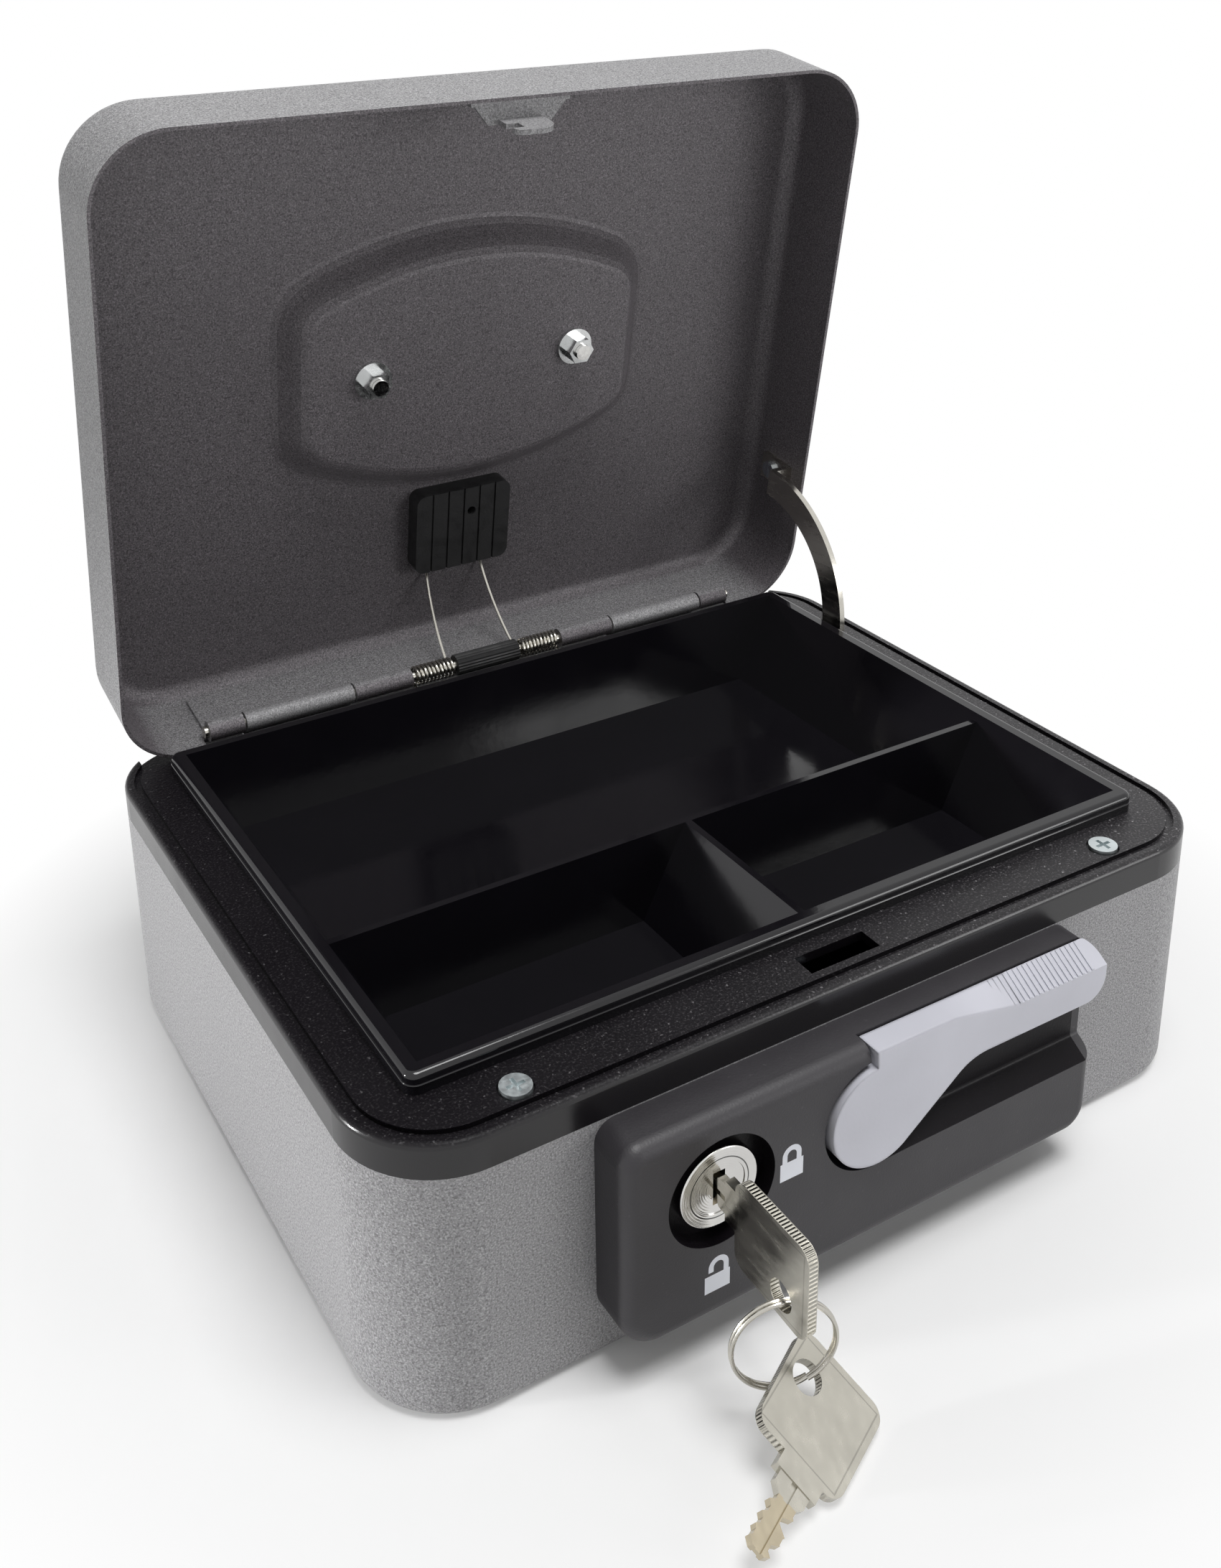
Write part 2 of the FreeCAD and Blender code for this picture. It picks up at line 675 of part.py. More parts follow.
# Body and frame
def body_shell():
    wall = S.sheet_wall
    pan = slab("pan", both(half_x), both(half_y), (0, band_low), S.corner_radius, foot=S.foot_radius)
    neck = slab("neck", both(neck_x), both(neck_y), (band_low - wall, deck_low), neck_radius)
    room = slab("room", both(half_x - wall), both(half_y - wall), (wall, band_low - wall),
                S.corner_radius - wall, foot=S.foot_radius - wall)
    mouth = slab("mouth", both(mouth_x), both(mouth_y), (band_low - 2 * wall, deck_low - wall),
                 neck_radius - wall)
    flange_z = (deck_low - 2 * wall, deck_low + wall)
    tools = [room, mouth]
    tools.append(block("window", both(window_x + S.flange_margin),
                       (window_front - S.flange_margin, window_rear + S.flange_margin), flange_z))
    tools.append(block("rear_gap", both(trough_half + S.flange_margin),
                       (trough_front - S.flange_margin, half_y + wall), (band_low, deck_low + wall)))
    tools.append(block("latch_gap", both(2 * S.latch_half), (-mouth_y, window_front), flange_z))
    tools.append(block("stay_gap", (window_x, stay_span[1] + wall),
                       (stay_far - 2 * S.foot_reach, stay_near + S.foot_reach), flange_z))
    wall_span = (front - wall, front + 2 * wall)
    tools.append(rod("lock_hole", "y", (S.lock_x, lock_z), wall_span, S.barrel_radius + S.gap / 3))
    tools.append(rod("shaft_hole", "y", (S.pivot_x, pivot_z), wall_span, S.shaft_radius + S.fit))
    for place in BOSSES:
        tools.append(rod("boss_hole", "y", place, wall_span, S.screw_radius + S.fit))
    for side in (-1, 1):
        tools.append(rod("frame_screw_hole", "z", (side * screw_x, screw_y), flange_z,
                         S.screw_radius + S.fit))
    for place in RIVETS:
        tools.append(rod("rivet_hole", "y", (place, rivet_z), (half_y - 2 * wall, half_y + wall),
                         S.rivet_radius + S.fit))
    return node(cut("body_shell", fuse("shell_blank", pan, neck), *tools))


def top_frame():
    slack = S.gap / 2
    trough_wall = S.deck_wall
    blank = slab("frame_blank", both(half_x), both(half_y), (band_low, S.body_height), S.corner_radius,
                 crown=S.band_edge)
    hollow = slab("frame_hollow", both(neck_x + slack), both(neck_y + slack),
                  (band_low - S.deck_wall, deck_low), neck_radius + slack)
    trough_block = block("trough_block", both(trough_half + trough_wall),
                         (trough_front - trough_wall, half_y), (trough_z - trough_wall, deck_low + slack))
    trough_plan = slab("trough_plan", both(half_x), both(half_y),
                       (trough_z - 2 * trough_wall, S.body_height), S.corner_radius)
    frame = fuse("frame_body", cut("frame_cap", blank, hollow),
                 common("trough_floor", trough_block, trough_plan))
    above = S.body_height + S.deck_wall
    below = trough_z - 2 * trough_wall
    groove_out = S.lid_inset - S.groove_gap
    groove_in = S.lid_inset + S.lid_wall + S.groove_gap
    groove_z = (S.body_height - S.groove_depth, above)
    ring = cut("groove",
               slab("groove_rim", both(half_x - groove_out), both(half_y - groove_out), groove_z,
                    S.corner_radius - groove_out),
               slab("groove_core", both(half_x - groove_in), both(half_y - groove_in),
                    (band_low, above + S.deck_wall), S.corner_radius - groove_in))
    tools = [ring]
    tools.append(block("trough", both(trough_half), (trough_front, half_y + trough_wall), (trough_z, above)))
    tools.append(block("deck_window", both(window_x), (window_front, window_rear), (below, above)))
    tools.append(block("latch_slot", both(S.latch_half), about(latch_y, S.latch_slot / 2), (below, above)))
    tools.append(block("stay_slot", (stay_span[0] - 2 * S.gap, stay_span[1] + 2 * S.gap),
                       (stay_far - 2 * S.gap, stay_near + 2 * S.gap), (below, above)))
    slot_y = (leaf_span[0] - S.gap, leaf_span[1] + S.gap)
    for span in mirrored_spans(S.slot_near, slot_far):
        tools.append(block("knuckle_slot", span, slot_y, (below, above)))
    for side in (-1, 1):
        place = (side * screw_x, screw_y)
        tools.append(rod("screw_way", "z", place, (below, above), S.screw_radius + S.gap))
        tools.append(rod("screw_dish", "z", place, (S.body_height - S.screw_sink, above),
                         S.screw_head + S.groove_gap))
    return node(cut("top_frame", frame, *tools))


def frame_screws():
    seat = S.body_height - S.screw_sink
    made = [screw("frame_screw", "z", (side * screw_x, screw_y), seat, S.screw_reach)
            for side in (-1, 1)]
    return node(group("frame_screws", *made))


# Hinge
def knuckle(name, span):
    return rod(name, "x", (hinge_y, hinge_z), span, S.knuckle_radius)


def hinge_bore():
    far = leaf_half + S.leaf_wall
    return rod("bore", "x", (hinge_y, hinge_z), both(far), bore_radius)


def body_hinge_leaf():
    back = (rear_inside - S.leaf_wall, rear_inside)
    web_z = (plate_high - S.leaf_wall, plate_high)
    pieces = [block("back_plate", both(S.plate_half), back, (plate_low, plate_high))]
    pieces.append(block("web", both(S.plate_half), (leaf_span[0], rear_inside), web_z))
    near = S.slot_near + S.knuckle_play
    far = slot_far - S.knuckle_play
    for span in mirrored_spans(near, far):
        pieces.append(block("upright", span, leaf_span, (web_z[0], hinge_z)))
        pieces.append(knuckle("body_knuckle", span))
    tools = [hinge_bore()]
    for place in RIVETS:
        tools.append(rod("plate_hole", "y", (place, rivet_z), (back[0] - S.leaf_wall, half_y),
                         S.rivet_radius + S.fit))
    return node(cut("body_hinge_leaf", fuse("body_leaf", *pieces), *tools))


def hinge_rivets():
    inner = rear_inside - S.leaf_wall
    made = []
    for place in RIVETS:
        axis = (place, rivet_z)
        shank = rod("rivet_shank", "y", axis, (inner, half_y), S.rivet_radius)
        inside = rod("rivet_inside", "y", axis, (inner - S.rivet_dome, inner), S.rivet_head)
        outside = rod("rivet_outside", "y", axis, (half_y, half_y + S.rivet_dome), S.rivet_head)
        made.append(fuse("rivet", shank, inside, outside))
    return node(group("hinge_rivets", *made))


def hinge_pin():
    far = leaf_half + S.leaf_wall
    return node(group("hinge_pin", rod("pin", "x", (hinge_y, hinge_z), both(far), S.pin_radius)))


def lid_hinge_leaf():
    leaf_top = panel_z - S.lid_crown + S.lid_wall - S.gap
    leaf = block("leaf", both(leaf_half), leaf_span, (hinge_z, leaf_top))
    behind = (leaf_span[0] - S.leaf_wall, leaf_span[1] + S.leaf_wall)
    below = hinge_z - S.leaf_wall
    openings = [block("leaf_bay", both(S.spring_bay), behind, (below, hinge_z + S.bay_rise))]
    for span in mirrored_spans(S.slot_near, slot_far):
        openings.append(block("leaf_slot", span, behind, (below, hinge_z + S.slot_rise)))
    rolls = []
    for near, far in ((S.spring_bay, S.slot_near), (slot_far, leaf_half)):
        for span in mirrored_spans(near, far):
            rolls.append(knuckle("lid_knuckle", span))
    leaf = fuse("lid_leaf", cut("leaf_sheet", leaf, *openings), *rolls)
    return node(on_lid(cut("lid_hinge_leaf", leaf, hinge_bore())))


def spring_sleeve():
    points = []
    for place in range(2 * SLEEVE_RIBS):
        radius = float(S.sleeve_radius) - (place % 2) * float(S.sleeve_rib)
        angle = math.pi * place / SLEEVE_RIBS
        points.append((float(hinge_y) + radius * math.cos(angle), float(hinge_z) + radius * math.sin(angle)))
    half = S.coil_near - S.coil_wire
    tube = plate("sleeve", "x", points, both(half))
    bore = rod("sleeve_bore", "x", (hinge_y, hinge_z), both(half + S.coil_wire), bore_radius)
    return node(cut("spring_sleeve", tube, bore))


pad_rear = lid_y - S.pad_reach
leg_z = panel_z - S.pad_thick / 2


def spring_leg():
    """The angle at which the spring's long leg leaves its coil, and its length to the pad's rear face."""
    pad_y = float(pad_rear - hinge_y)
    pad_z = float(leg_z - hinge_z)
    reach = math.hypot(pad_y, pad_z)
    leave = math.atan2(pad_z, pad_y) - math.acos(float(S.coil_radius) / reach)
    return leave, math.sqrt(reach ** 2 - float(S.coil_radius) ** 2)


def lift_springs():
    radius = float(S.coil_radius)
    wire = float(S.coil_wire)
    leave, leg = spring_leg()
    rest = math.radians(float(S.open_angle)) - math.pi / 2
    first = rest
    last = leave + 2 * math.pi * LID_TURNS
    middle = Vector(0, float(hinge_y), float(hinge_z))
    x_span = (-float(S.coil_far), -float(S.coil_near))
    (start, start_heading), (end, end_heading), edges = helix(middle, radius, first, last, x_span)
    tail = start - start_heading * float(S.tail_length)
    enter = end + end_heading * (leg / math.hypot(end_heading.y, end_heading.z))
    tip = enter + end_heading * float(S.leg_hold)
    edges = [Part.LineSegment(tail, start).toShape()] + edges + [Part.LineSegment(end, tip).toShape()]
    coil = wire_tube(edges, tail, start_heading, wire / 2)
    pitch = (x_span[1] - x_span[0]) / (last - first) * 2 * math.pi
    print(f"lid spring: least gap to itself {least_gap(edges, wire):.2f}, pitch {pitch:.2f}")
    other = coil.mirror(Vector(), Vector(1, 0, 0))
    node(on_lid(solid("lift_springs", Part.Compound([coil, other]))))
    return enter, end_heading


def least_gap(edges, wire):
    """Least gap of a wire to itself, between points a third of a turn or more apart."""
    points = []
    for edge in edges:
        count = max(2, int(edge.Length / (wire / 2)))
        points += edge.discretize(count)[:-1]
    skip = int(5 * wire / (wire / 2))
    gaps = [one.distanceToPoint(other) for place, one in enumerate(points)
            for other in points[place + skip:]]
    return min(gaps) - wire


def lift_pad(enter, heading):
    """The pad, with a hole for each spring leg along its heading."""
    z = (panel_z - S.pad_thick, panel_z)
    y = (pad_rear - S.pad_length, pad_rear)
    blank = slab("pad_blank", both(S.pad_half), y, z, S.pad_thick / 2)
    tools = []
    step = 2 * S.pad_half / (PAD_GROOVES + 1)
    for place in range(1, PAD_GROOVES + 1):
        middle = place * step - S.pad_half
        tools.append(block("pad_line", about(middle, S.pad_groove / 2), y, (z[0], z[0] + S.pad_groove)))
    hole = (step / 2, y[0] + S.pad_length * 0.3)
    tools.append(rod("pad_hole", "z", hole, (z[0], z[0] + S.pad_thick * 0.6), S.pad_groove * 2.4))
    hold = float(S.leg_hold + S.gap)
    hole = Part.makeCylinder(float(S.coil_wire / 2 + S.fit), 2 * hold, enter - heading * hold, heading)
    tools.append(solid("leg_hole", hole))
    tools.append(solid("leg_hole", hole.mirror(Vector(), Vector(1, 0, 0))))
    return node(on_lid(cut("lift_pad", blank, *tools)))


# Lid
def barrel(inset, z):
    """The recess's outline, drawn in by an inset: straight sides and bowed ends."""
    half = float(S.recess_half)
    side = float(S.recess_side)
    bow = float(S.recess_bow)
    slant = math.hypot(half, bow - side)
    x = half - inset
    y_side = side - inset * (slant - (bow - side)) / half
    y_bow = bow - inset * slant / half
    corner = float(S.recess_corner) - inset
    sweep = float(S.recess_round) - inset
    corners = []
    for mark in (-1, 1):
        corners.append((mark * x, -mark * y_side, corner))
        corners.append((mark * x, mark * y_side, corner))
        corners.append((0, mark * y_bow, sweep))
    wire = outline("z", corners)
    wire.translate(Vector(0, -float(S.recess_shift), z))
    return wire


def pressing(name, top, shift, drop):
    """The pressed recess as a solid, its flank an even S between the panel and the floor."""
    steps = (0, 0.12, 0.28, 0.42, 0.58, 0.72, 0.88, 1)
    wires = [barrel(shift, float(lid_top) + top)]
    for share in steps:
        depth = float(S.recess_depth) * share ** 2 * (3 - 2 * share)
        wires.append(barrel(float(S.recess_flank) * share + shift, float(lid_top) - depth - drop))
    return loft(name, wires)


def lid_shell():
    wall = S.lid_wall
    blank = slab("lid_blank", both(lid_x), both(lid_y), (lip_z, lid_top), lid_radius, crown=S.lid_crown)
    hollow = slab("lid_hollow", both(lid_inner_x), both(lid_inner_y), (lip_z - wall, panel_z),
                  lid_radius - wall, crown=S.lid_crown - wall)
    boss = pressing("boss", -float(wall) / 2, -float(wall), float(wall))
    shell = fuse("lid_skin", cut("lid_pan", blank, hollow), boss)
    tools = [pressing("recess", float(wall), 0.0, 0.0)]
    rear = (lid_inner_y - wall / 2, lid_y + wall)
    low = lip_z - wall
    tools.append(block("rear_notch", both(leaf_half + S.leaf_wall), rear, (low, hinge_z + S.gap)))
    tools.append(block("bay_notch", both(S.spring_bay), rear, (low, hinge_z + S.bay_rise)))
    for span in mirrored_spans(S.slot_near, slot_far):
        tools.append(block("slot_notch", span, rear, (low, hinge_z + S.slot_rise)))
    for side in (-1, 1):
        tools.append(rod("stud_hole", "z", (side * S.handle_half, S.handle_y),
                         (plateau_z - wall, recess_floor + wall), S.stud_radius + S.fit))
    tools.append(rod("stay_hole", "x", (stay_rivet_y, stay_rivet_z), (lid_inner_x - wall, lid_x + wall),
                     S.rivet_radius + S.fit))
    return node(on_lid(cut("lid_shell", shell, *tools)))


def latch_hook():
    sheet_z = (S.body_height + S.hook_lift, S.body_height + S.hook_lift + S.latch_plate)
    wall_in = -lid_inner_y
    flange = block("hook_flange", both(S.hook_root), (wall_in, wall_in + S.latch_plate),
                   (sheet_z[0], sheet_z[0] + S.lid_depth / 2))
    shelf = plate("hook_shelf", "z",
                  [(-S.hook_root, wall_in), (S.hook_root, wall_in), (S.hook_tip, latch_span[1]),
                   (-S.hook_tip, latch_span[1])], sheet_z)
    low = S.body_height - S.tongue_drop
    half = float(S.tongue_half)
    tongue = plate("tongue", "y",
                   [(-half, sheet_z[1]), (-half, low, half * 0.4), (half, low, half * 0.8),
                    (half, sheet_z[1])],
                   latch_span)
    notch_top = S.body_height - S.notch_drop
    notch = block("notch", (-S.tongue_half - S.notch_depth, S.notch_depth - S.tongue_half),
                  (latch_span[0] - S.latch_plate, latch_span[1] + S.latch_plate),
                  (notch_top - S.notch_height, notch_top))
    return node(on_lid(cut("latch_hook", fuse("hook_blank", flange, shelf, tongue), notch)))


stay_rivet_y = hinge_y - S.stay_radius
stay_rivet_z = hinge_z + S.stay_rise + S.tab_height * 0.6


def lid_stay():
    near = S.stay_radius - S.stay_width / 2
    far = S.stay_radius + S.stay_width / 2
    sweep = S.open_angle + S.stay_past
    ring = cut("stay_ring",
               rod("stay_disc", "x", (hinge_y, hinge_z), stay_span, far),
               rod("stay_core", "x", (hinge_y, hinge_z), (stay_span[0] - S.gap, stay_span[1] + S.gap), near))
    quarter = 2 * float(far)
    turn = math.radians(float(sweep))
    sector = plate("stay_sector", "x",
                   [(hinge_y, hinge_z), (float(hinge_y) - quarter, hinge_z),
                    (float(hinge_y) - quarter, float(hinge_z) - quarter),
                    (float(hinge_y) - quarter * math.cos(turn), float(hinge_z) - quarter * math.sin(turn))],
                   stay_span)
    bend_z = hinge_z + S.stay_rise
    pieces = [common("stay_arc", ring, sector)]
    pieces.append(block("stay_top", stay_span, (stay_far, stay_near), (hinge_z, bend_z)))
    pieces.append(block("stay_bend", (stay_span[0], lid_inner_x), (stay_far, stay_near),
                        (bend_z - S.stay_thick, bend_z)))
    tab = block("stay_tab", (lid_inner_x - S.stay_thick, lid_inner_x), (stay_far, stay_near),
                (bend_z - S.stay_thick, bend_z + S.tab_height))
    pieces.append(tab)
    foot = plate("stay_stop", "x", stop_corners(), stay_span)
    pieces.append(foot)
    hole = rod("tab_hole", "x", (stay_rivet_y, stay_rivet_z), (stay_span[0], lid_x), S.rivet_radius + S.fit)
    return node(on_lid(cut("lid_stay", fuse("stay_blank", *pieces), hole)))


def stop_corners():
    """The stop's corners on the closed box: it lies level under the deck when the lid stands open."""
    turn = math.radians(float(S.open_angle))
    far = float(S.stay_radius + S.stay_width / 2)
    top = -float(S.foot_drop)
    low = top - float(S.foot_thick)
    corners = []
    for y, z in ((-far - float(S.foot_reach), low), (-float(S.stay_radius), low),
                 (-float(S.stay_radius), top + float(S.foot_thick)), (-far + float(S.gap), top),
                 (-far - float(S.foot_reach), top)):
        corners.append((float(hinge_y) + y * math.cos(turn) - z * math.sin(turn),
                        float(hinge_z) + y * math.sin(turn) + z * math.cos(turn)))
    return corners


def stay_rivet():
    axis = (stay_rivet_y, stay_rivet_z)
    inner = lid_inner_x - S.stay_thick
    shank = rod("stay_shank", "x", axis, (inner, lid_x), S.rivet_radius)
    inside = rod("stay_inside", "x", axis, (inner - S.rivet_dome, inner), S.rivet_head * 0.8)
    outside = rod("stay_outside", "x", axis, (lid_x, lid_x + S.rivet_dome), S.rivet_head)
    return node(on_lid(fuse("stay_rivet", shank, inside, outside)))


pivot_rise_z = recess_floor + S.pivot_rise


def handle_lugs():
    made = []
    nut_end = plateau_z - S.washer_thick - S.nut_height - S.washer_thick
    for side in (-1, 1):
        place = (side * S.handle_half, S.handle_y)
        base = rod("lug_base", "z", place, (recess_floor, recess_floor + S.stay_thick), S.lug_radius)
        stud = rod("stud", "z", place, (nut_end, recess_floor), S.stud_radius)
        ear = block("ear", about(place[0], S.lug_thick / 2), about(S.handle_y, S.bail_radius * 1.3),
                    (recess_floor, pivot_rise_z))
        head = rod("ear_head", "x", (S.handle_y, pivot_rise_z), about(place[0], S.lug_thick / 2),
                   S.bail_radius * 1.3)
        bore = rod("ear_bore", "x", (S.handle_y, pivot_rise_z), about(place[0], S.lug_thick),
                   S.bail_pin + S.fit)
        made.append(cut("lug", fuse("lug_blank", base, stud, ear, head), bore))
    return node(on_lid(group("handle_lugs", *made)))


def flange_nuts():
    made = []
    hexagon = [(math.cos(math.pi * step / 3), math.sin(math.pi * step / 3)) for step in range(6)]
    for side in (-1, 1):
        place = (side * S.handle_half, S.handle_y)
        seat = plateau_z
        low = seat - S.washer_thick
        corners = [(place[0] + S.nut_radius * u, place[1] + S.nut_radius * v) for u, v in hexagon]
        washer = rod("washer", "z", place, (low, seat), S.nut_flange)
        nut = plate("nut", "z", corners, (low - S.nut_height, low))
        bore = rod("nut_bore", "z", place, (low - 2 * S.nut_height, seat + S.washer_thick),
                   S.stud_radius + S.fit)
        made.append(cut("flange_nut", fuse("nut_blank", washer, nut), bore))
    return node(on_lid(group("flange_nuts", *made)))


def handle_bail():
    """A round wire bent to a U, with its thinner ends in the lugs."""
    x_leg = float(S.handle_half + S.bail_out)
    y_low = float(S.handle_y)
    y_high = y_low + float(S.bail_leg)
    bend = float(S.bail_bend)
    path = []
    slope = math.sqrt(0.5)
    grip = Vector(-x_leg + bend, y_high)
    leg = Vector(-x_leg, y_high - bend)
    knee = Vector(-x_leg + bend * (1 - slope), y_high - bend * (1 - slope))
    foot = Vector(-x_leg, y_low - float(S.bail_radius))
    flip = lambda point: Vector(-point.x, point.y)
    path.append(Part.LineSegment(foot, leg).toShape())
    path.append(Part.Arc(leg, knee, grip).toShape())
    path.append(Part.LineSegment(grip, flip(grip)).toShape())
    path.append(Part.Arc(flip(grip), flip(knee), flip(leg)).toShape())
    path.append(Part.LineSegment(flip(leg), flip(foot)).toShape())
    tube = wire_tube(path, foot, Vector(0, 1, 0), float(S.bail_radius))
    tube.translate(Vector(0, 0, float(pivot_rise_z)))
    bow = solid("bail_wire", tube)
    inner = S.handle_half - S.lug_thick / 2 - S.gap
    pins = [rod("bail_end", "x", (S.handle_y, pivot_rise_z), span, S.bail_pin)
            for span in mirrored_spans(inner, S.handle_half + S.bail_out)]
    return node(on_lid(fuse("handle_bail", bow, *pins)))


# Tray
def cash_tray():
    wall = S.tray_wall
    side_wall = 1.3 * wall
    floor_x = inner_half - S.tray_slope
    floor_front = inner_front + S.tray_draft
    floor_rear = inner_rear - S.tray_draft
    under = tray_floor - wall
    share = wall / S.tray_depth
    rim = slab("rim", both(tray_half), (tray_front, tray_rear), (S.body_height, rim_top),
               2 * S.rim_edge, crown=S.rim_edge)
    pan = frustum("tray_pan", (under, rim_top - S.rim_edge),
                  (both(floor_x + side_wall - S.tray_slope * share),
                   (floor_front - wall + S.tray_draft * share, floor_rear + wall - S.tray_draft * share)),
                  (both(inner_half + side_wall * 0.7), (inner_front - wall * 0.7, inner_rear + wall * 0.7)))
    top = rim_top - S.divider_drop
    full = S.tray_depth - S.divider_drop
    part = full / S.tray_depth
    x_top = floor_x + S.tray_slope * part
    front_top = floor_front - S.tray_draft * part
    rear_top = floor_rear + S.tray_draft * part
    behind = S.divider_y + S.divider_half
    ahead = S.divider_y - S.divider_half
    tools = [frustum("open_top", (top, rim_top),
                     (both(x_top), (front_top, rear_top)),
                     (both(inner_half), (inner_front, inner_rear)))]
    tools.append(block("open_above", both(inner_half), (inner_front, inner_rear), (rim_top, rim_top + wall)))
    tools.append(frustum("notes", (tray_floor, top),
                         (both(floor_x), (behind + S.divider_draft, floor_rear)),
                         (both(x_top), (behind, rear_top))))
    for side in (-1, 1):
        inner_low = side * (S.divider_half + S.tray_slope)
        inner_top = side * S.divider_half
        tools.append(frustum("coins", (tray_floor, top),
                             (ordered(inner_low, side * floor_x), (floor_front, ahead - S.divider_draft)),
                             (ordered(inner_top, side * x_top), (front_top, ahead))))
    ridge = S.tray_slope - wall
    tools.append(frustum("ridge_hollow", (under - wall, top - 3 * wall),
                         (both(ridge + 2 * wall), (floor_front + wall, ahead - S.divider_draft - wall)),
                         (both(S.divider_half / 4), (floor_front + wall, ahead - S.divider_draft - wall))))
    return node(cut("cash_tray", fuse("tray_blank", rim, pan), *tools))


# Lock and lever
def housing_outline(inset):
    low, high = S.housing_low + inset, housing_high - inset
    left, right = S.housing_left + inset, S.housing_right - inset
    lower = 2.6 * S.housing_round
    upper = 1.4 * S.housing_round
    return [(left, low, lower), (right, low, upper * 1.4), (right, high, upper), (left, high, upper)]


def lock_housing():
    blank = plate("housing_blank", "y", housing_outline(0), (face_y, front))
    shaped = rounded("housing_shape", blank, lambda box: box.YMax < float(face_y) + TINY, S.housing_round)
    out = face_y - S.housing_out
    pivot = (S.pivot_x, pivot_z)
    lock = (S.lock_x, lock_z)
    pocket_low = pivot_z - S.disc_radius - S.pocket_gap
    fall = S.ledge_drop / S.pocket_depth
    tools = [rod("pocket_round", "y", pivot, (out, pocket_y), S.disc_radius + S.pocket_gap)]
    tools.append(plate("pocket_way", "x",
                       [(out, pocket_low - S.housing_out * fall), (pocket_y, pocket_low + S.ledge_drop, 1),
                        (pocket_y, housing_high + S.housing_out), (out, housing_high + S.housing_out)],
                       (S.pivot_x - 1.5 * S.pocket_gap, S.housing_right + S.housing_out)))
    tools.append(rod("dish", "y", lock, (out, face_y + S.dish_depth), S.recess_radius))
    tools.append(rod("barrel_way", "y", lock, (out, front + S.gap), S.barrel_radius + S.gap / 3))
    tools.append(rod("shaft_way", "y", pivot, (out, front + S.gap), S.shaft_radius + S.fit))
    cavity = plate("cavity_blank", "y", housing_outline(S.housing_wall), (cavity_y, front + S.gap))
    keep = [rod("lock_boss", "y", lock, (cavity_y - 1, front), S.barrel_radius + S.housing_wall),
            rod("shaft_boss", "y", pivot, (cavity_y - 1, front), S.shaft_radius + S.housing_wall)]
    for place in BOSSES:
        keep.append(rod("screw_boss", "y", place, (cavity_y - 1, front), S.boss_radius))
        tools.append(rod("boss_bore", "y", place, (front - S.screw_reach, front + S.gap),
                         S.screw_radius + S.fit))
    tools.append(cut("cavity", cavity, *keep))
    return node(cut("lock_housing", shaped, *tools))


def housing_screws():
    made = [screw("housing_screw", "y", place, front_inside, S.screw_reach) for place in BOSSES]
    return node(group("housing_screws", *made))


def lock_cylinder():
    axis = (S.lock_x, lock_z)
    seat = lock_face + S.flange_thick
    flange = rod("lock_flange", "y", axis, (lock_face, seat), S.flange_radius)
    shaped = rounded("lock_face", flange, lambda box: box.YMax < float(lock_face) + TINY, S.groove_gap)
    barrel_body = rod("lock_barrel", "y", axis, (seat - S.gap, barrel_end), S.barrel_radius)
    bore = rod("plug_bore", "y", axis, (lock_face - S.gap, plug_end), S.plug_radius + S.fit)
    return node(cut("lock_cylinder", fuse("lock_blank", shaped, barrel_body), bore))


def lock_nut():
    hexagon = [(math.cos(math.pi * step / 3), math.sin(math.pi * step / 3)) for step in range(6)]
    corners = [(S.lock_x + S.lock_nut_radius * u, lock_z + S.lock_nut_radius * v) for u, v in hexagon]
    nut = plate("ring_nut", "y", corners, (front_inside, front_inside + S.lock_nut_thick))
    bore = rod("ring_bore", "y", (S.lock_x, lock_z), (front, front_inside + 2 * S.lock_nut_thick),
               S.barrel_radius + S.fit)
    return node(cut("lock_nut", nut, bore))


bow_end = lock_face - S.key_show - S.bow_length
key_tip = bow_end + S.key_length
ring_y = bow_end + S.hole_along
ring_z = lock_z - S.hole_below - S.hole_radius + S.ring_wire + 1.5 * S.gap - S.ring_radius


def lock_plug():
    axis = (S.lock_x, lock_z)
    plug = rod("plug", "y", axis, (lock_face + S.plug_sink, plug_end), S.plug_radius)
    keyway = block("keyway", about(S.lock_x, S.key_thick / 2 + S.gap), (lock_face - S.gap, key_tip + S.gap),
                   about(lock_z, S.blade_half + S.gap))
    thread = rod("plug_thread", "y", axis, (plug_end + S.cam_thick - S.cam_reach, plug_end + S.gap),
                 S.screw_radius + S.fit)
    return node(cut("lock_plug", plug, keyway, thread))


def lock_cam():
    span = (plug_end, plug_end + S.cam_thick)
    half = S.cam_half
    tip_z = lock_z - S.cam_length
    blade = plate("cam_blade", "y",
                  [(S.lock_x - half, lock_z), (S.lock_x + half, lock_z),
                   (S.lock_x + half, tip_z, half * 0.4),
                   (S.lock_x - half, tip_z, half * 0.4)], span)
    hub = rod("cam_hub", "y", (S.lock_x, lock_z), span, S.plug_radius)
    hole = rod("cam_hole", "y", (S.lock_x, lock_z), (plug_end - S.gap, plug_end + 2 * S.cam_thick),
               S.screw_radius + S.fit)
    return node(cut("lock_cam", fuse("cam_blank", blade, hub), hole))


def cam_screw():
    bolt = screw("cam_bolt", "y", (S.lock_x, lock_z), plug_end + S.cam_thick, S.cam_reach)
    return node(group("cam_screw", bolt))


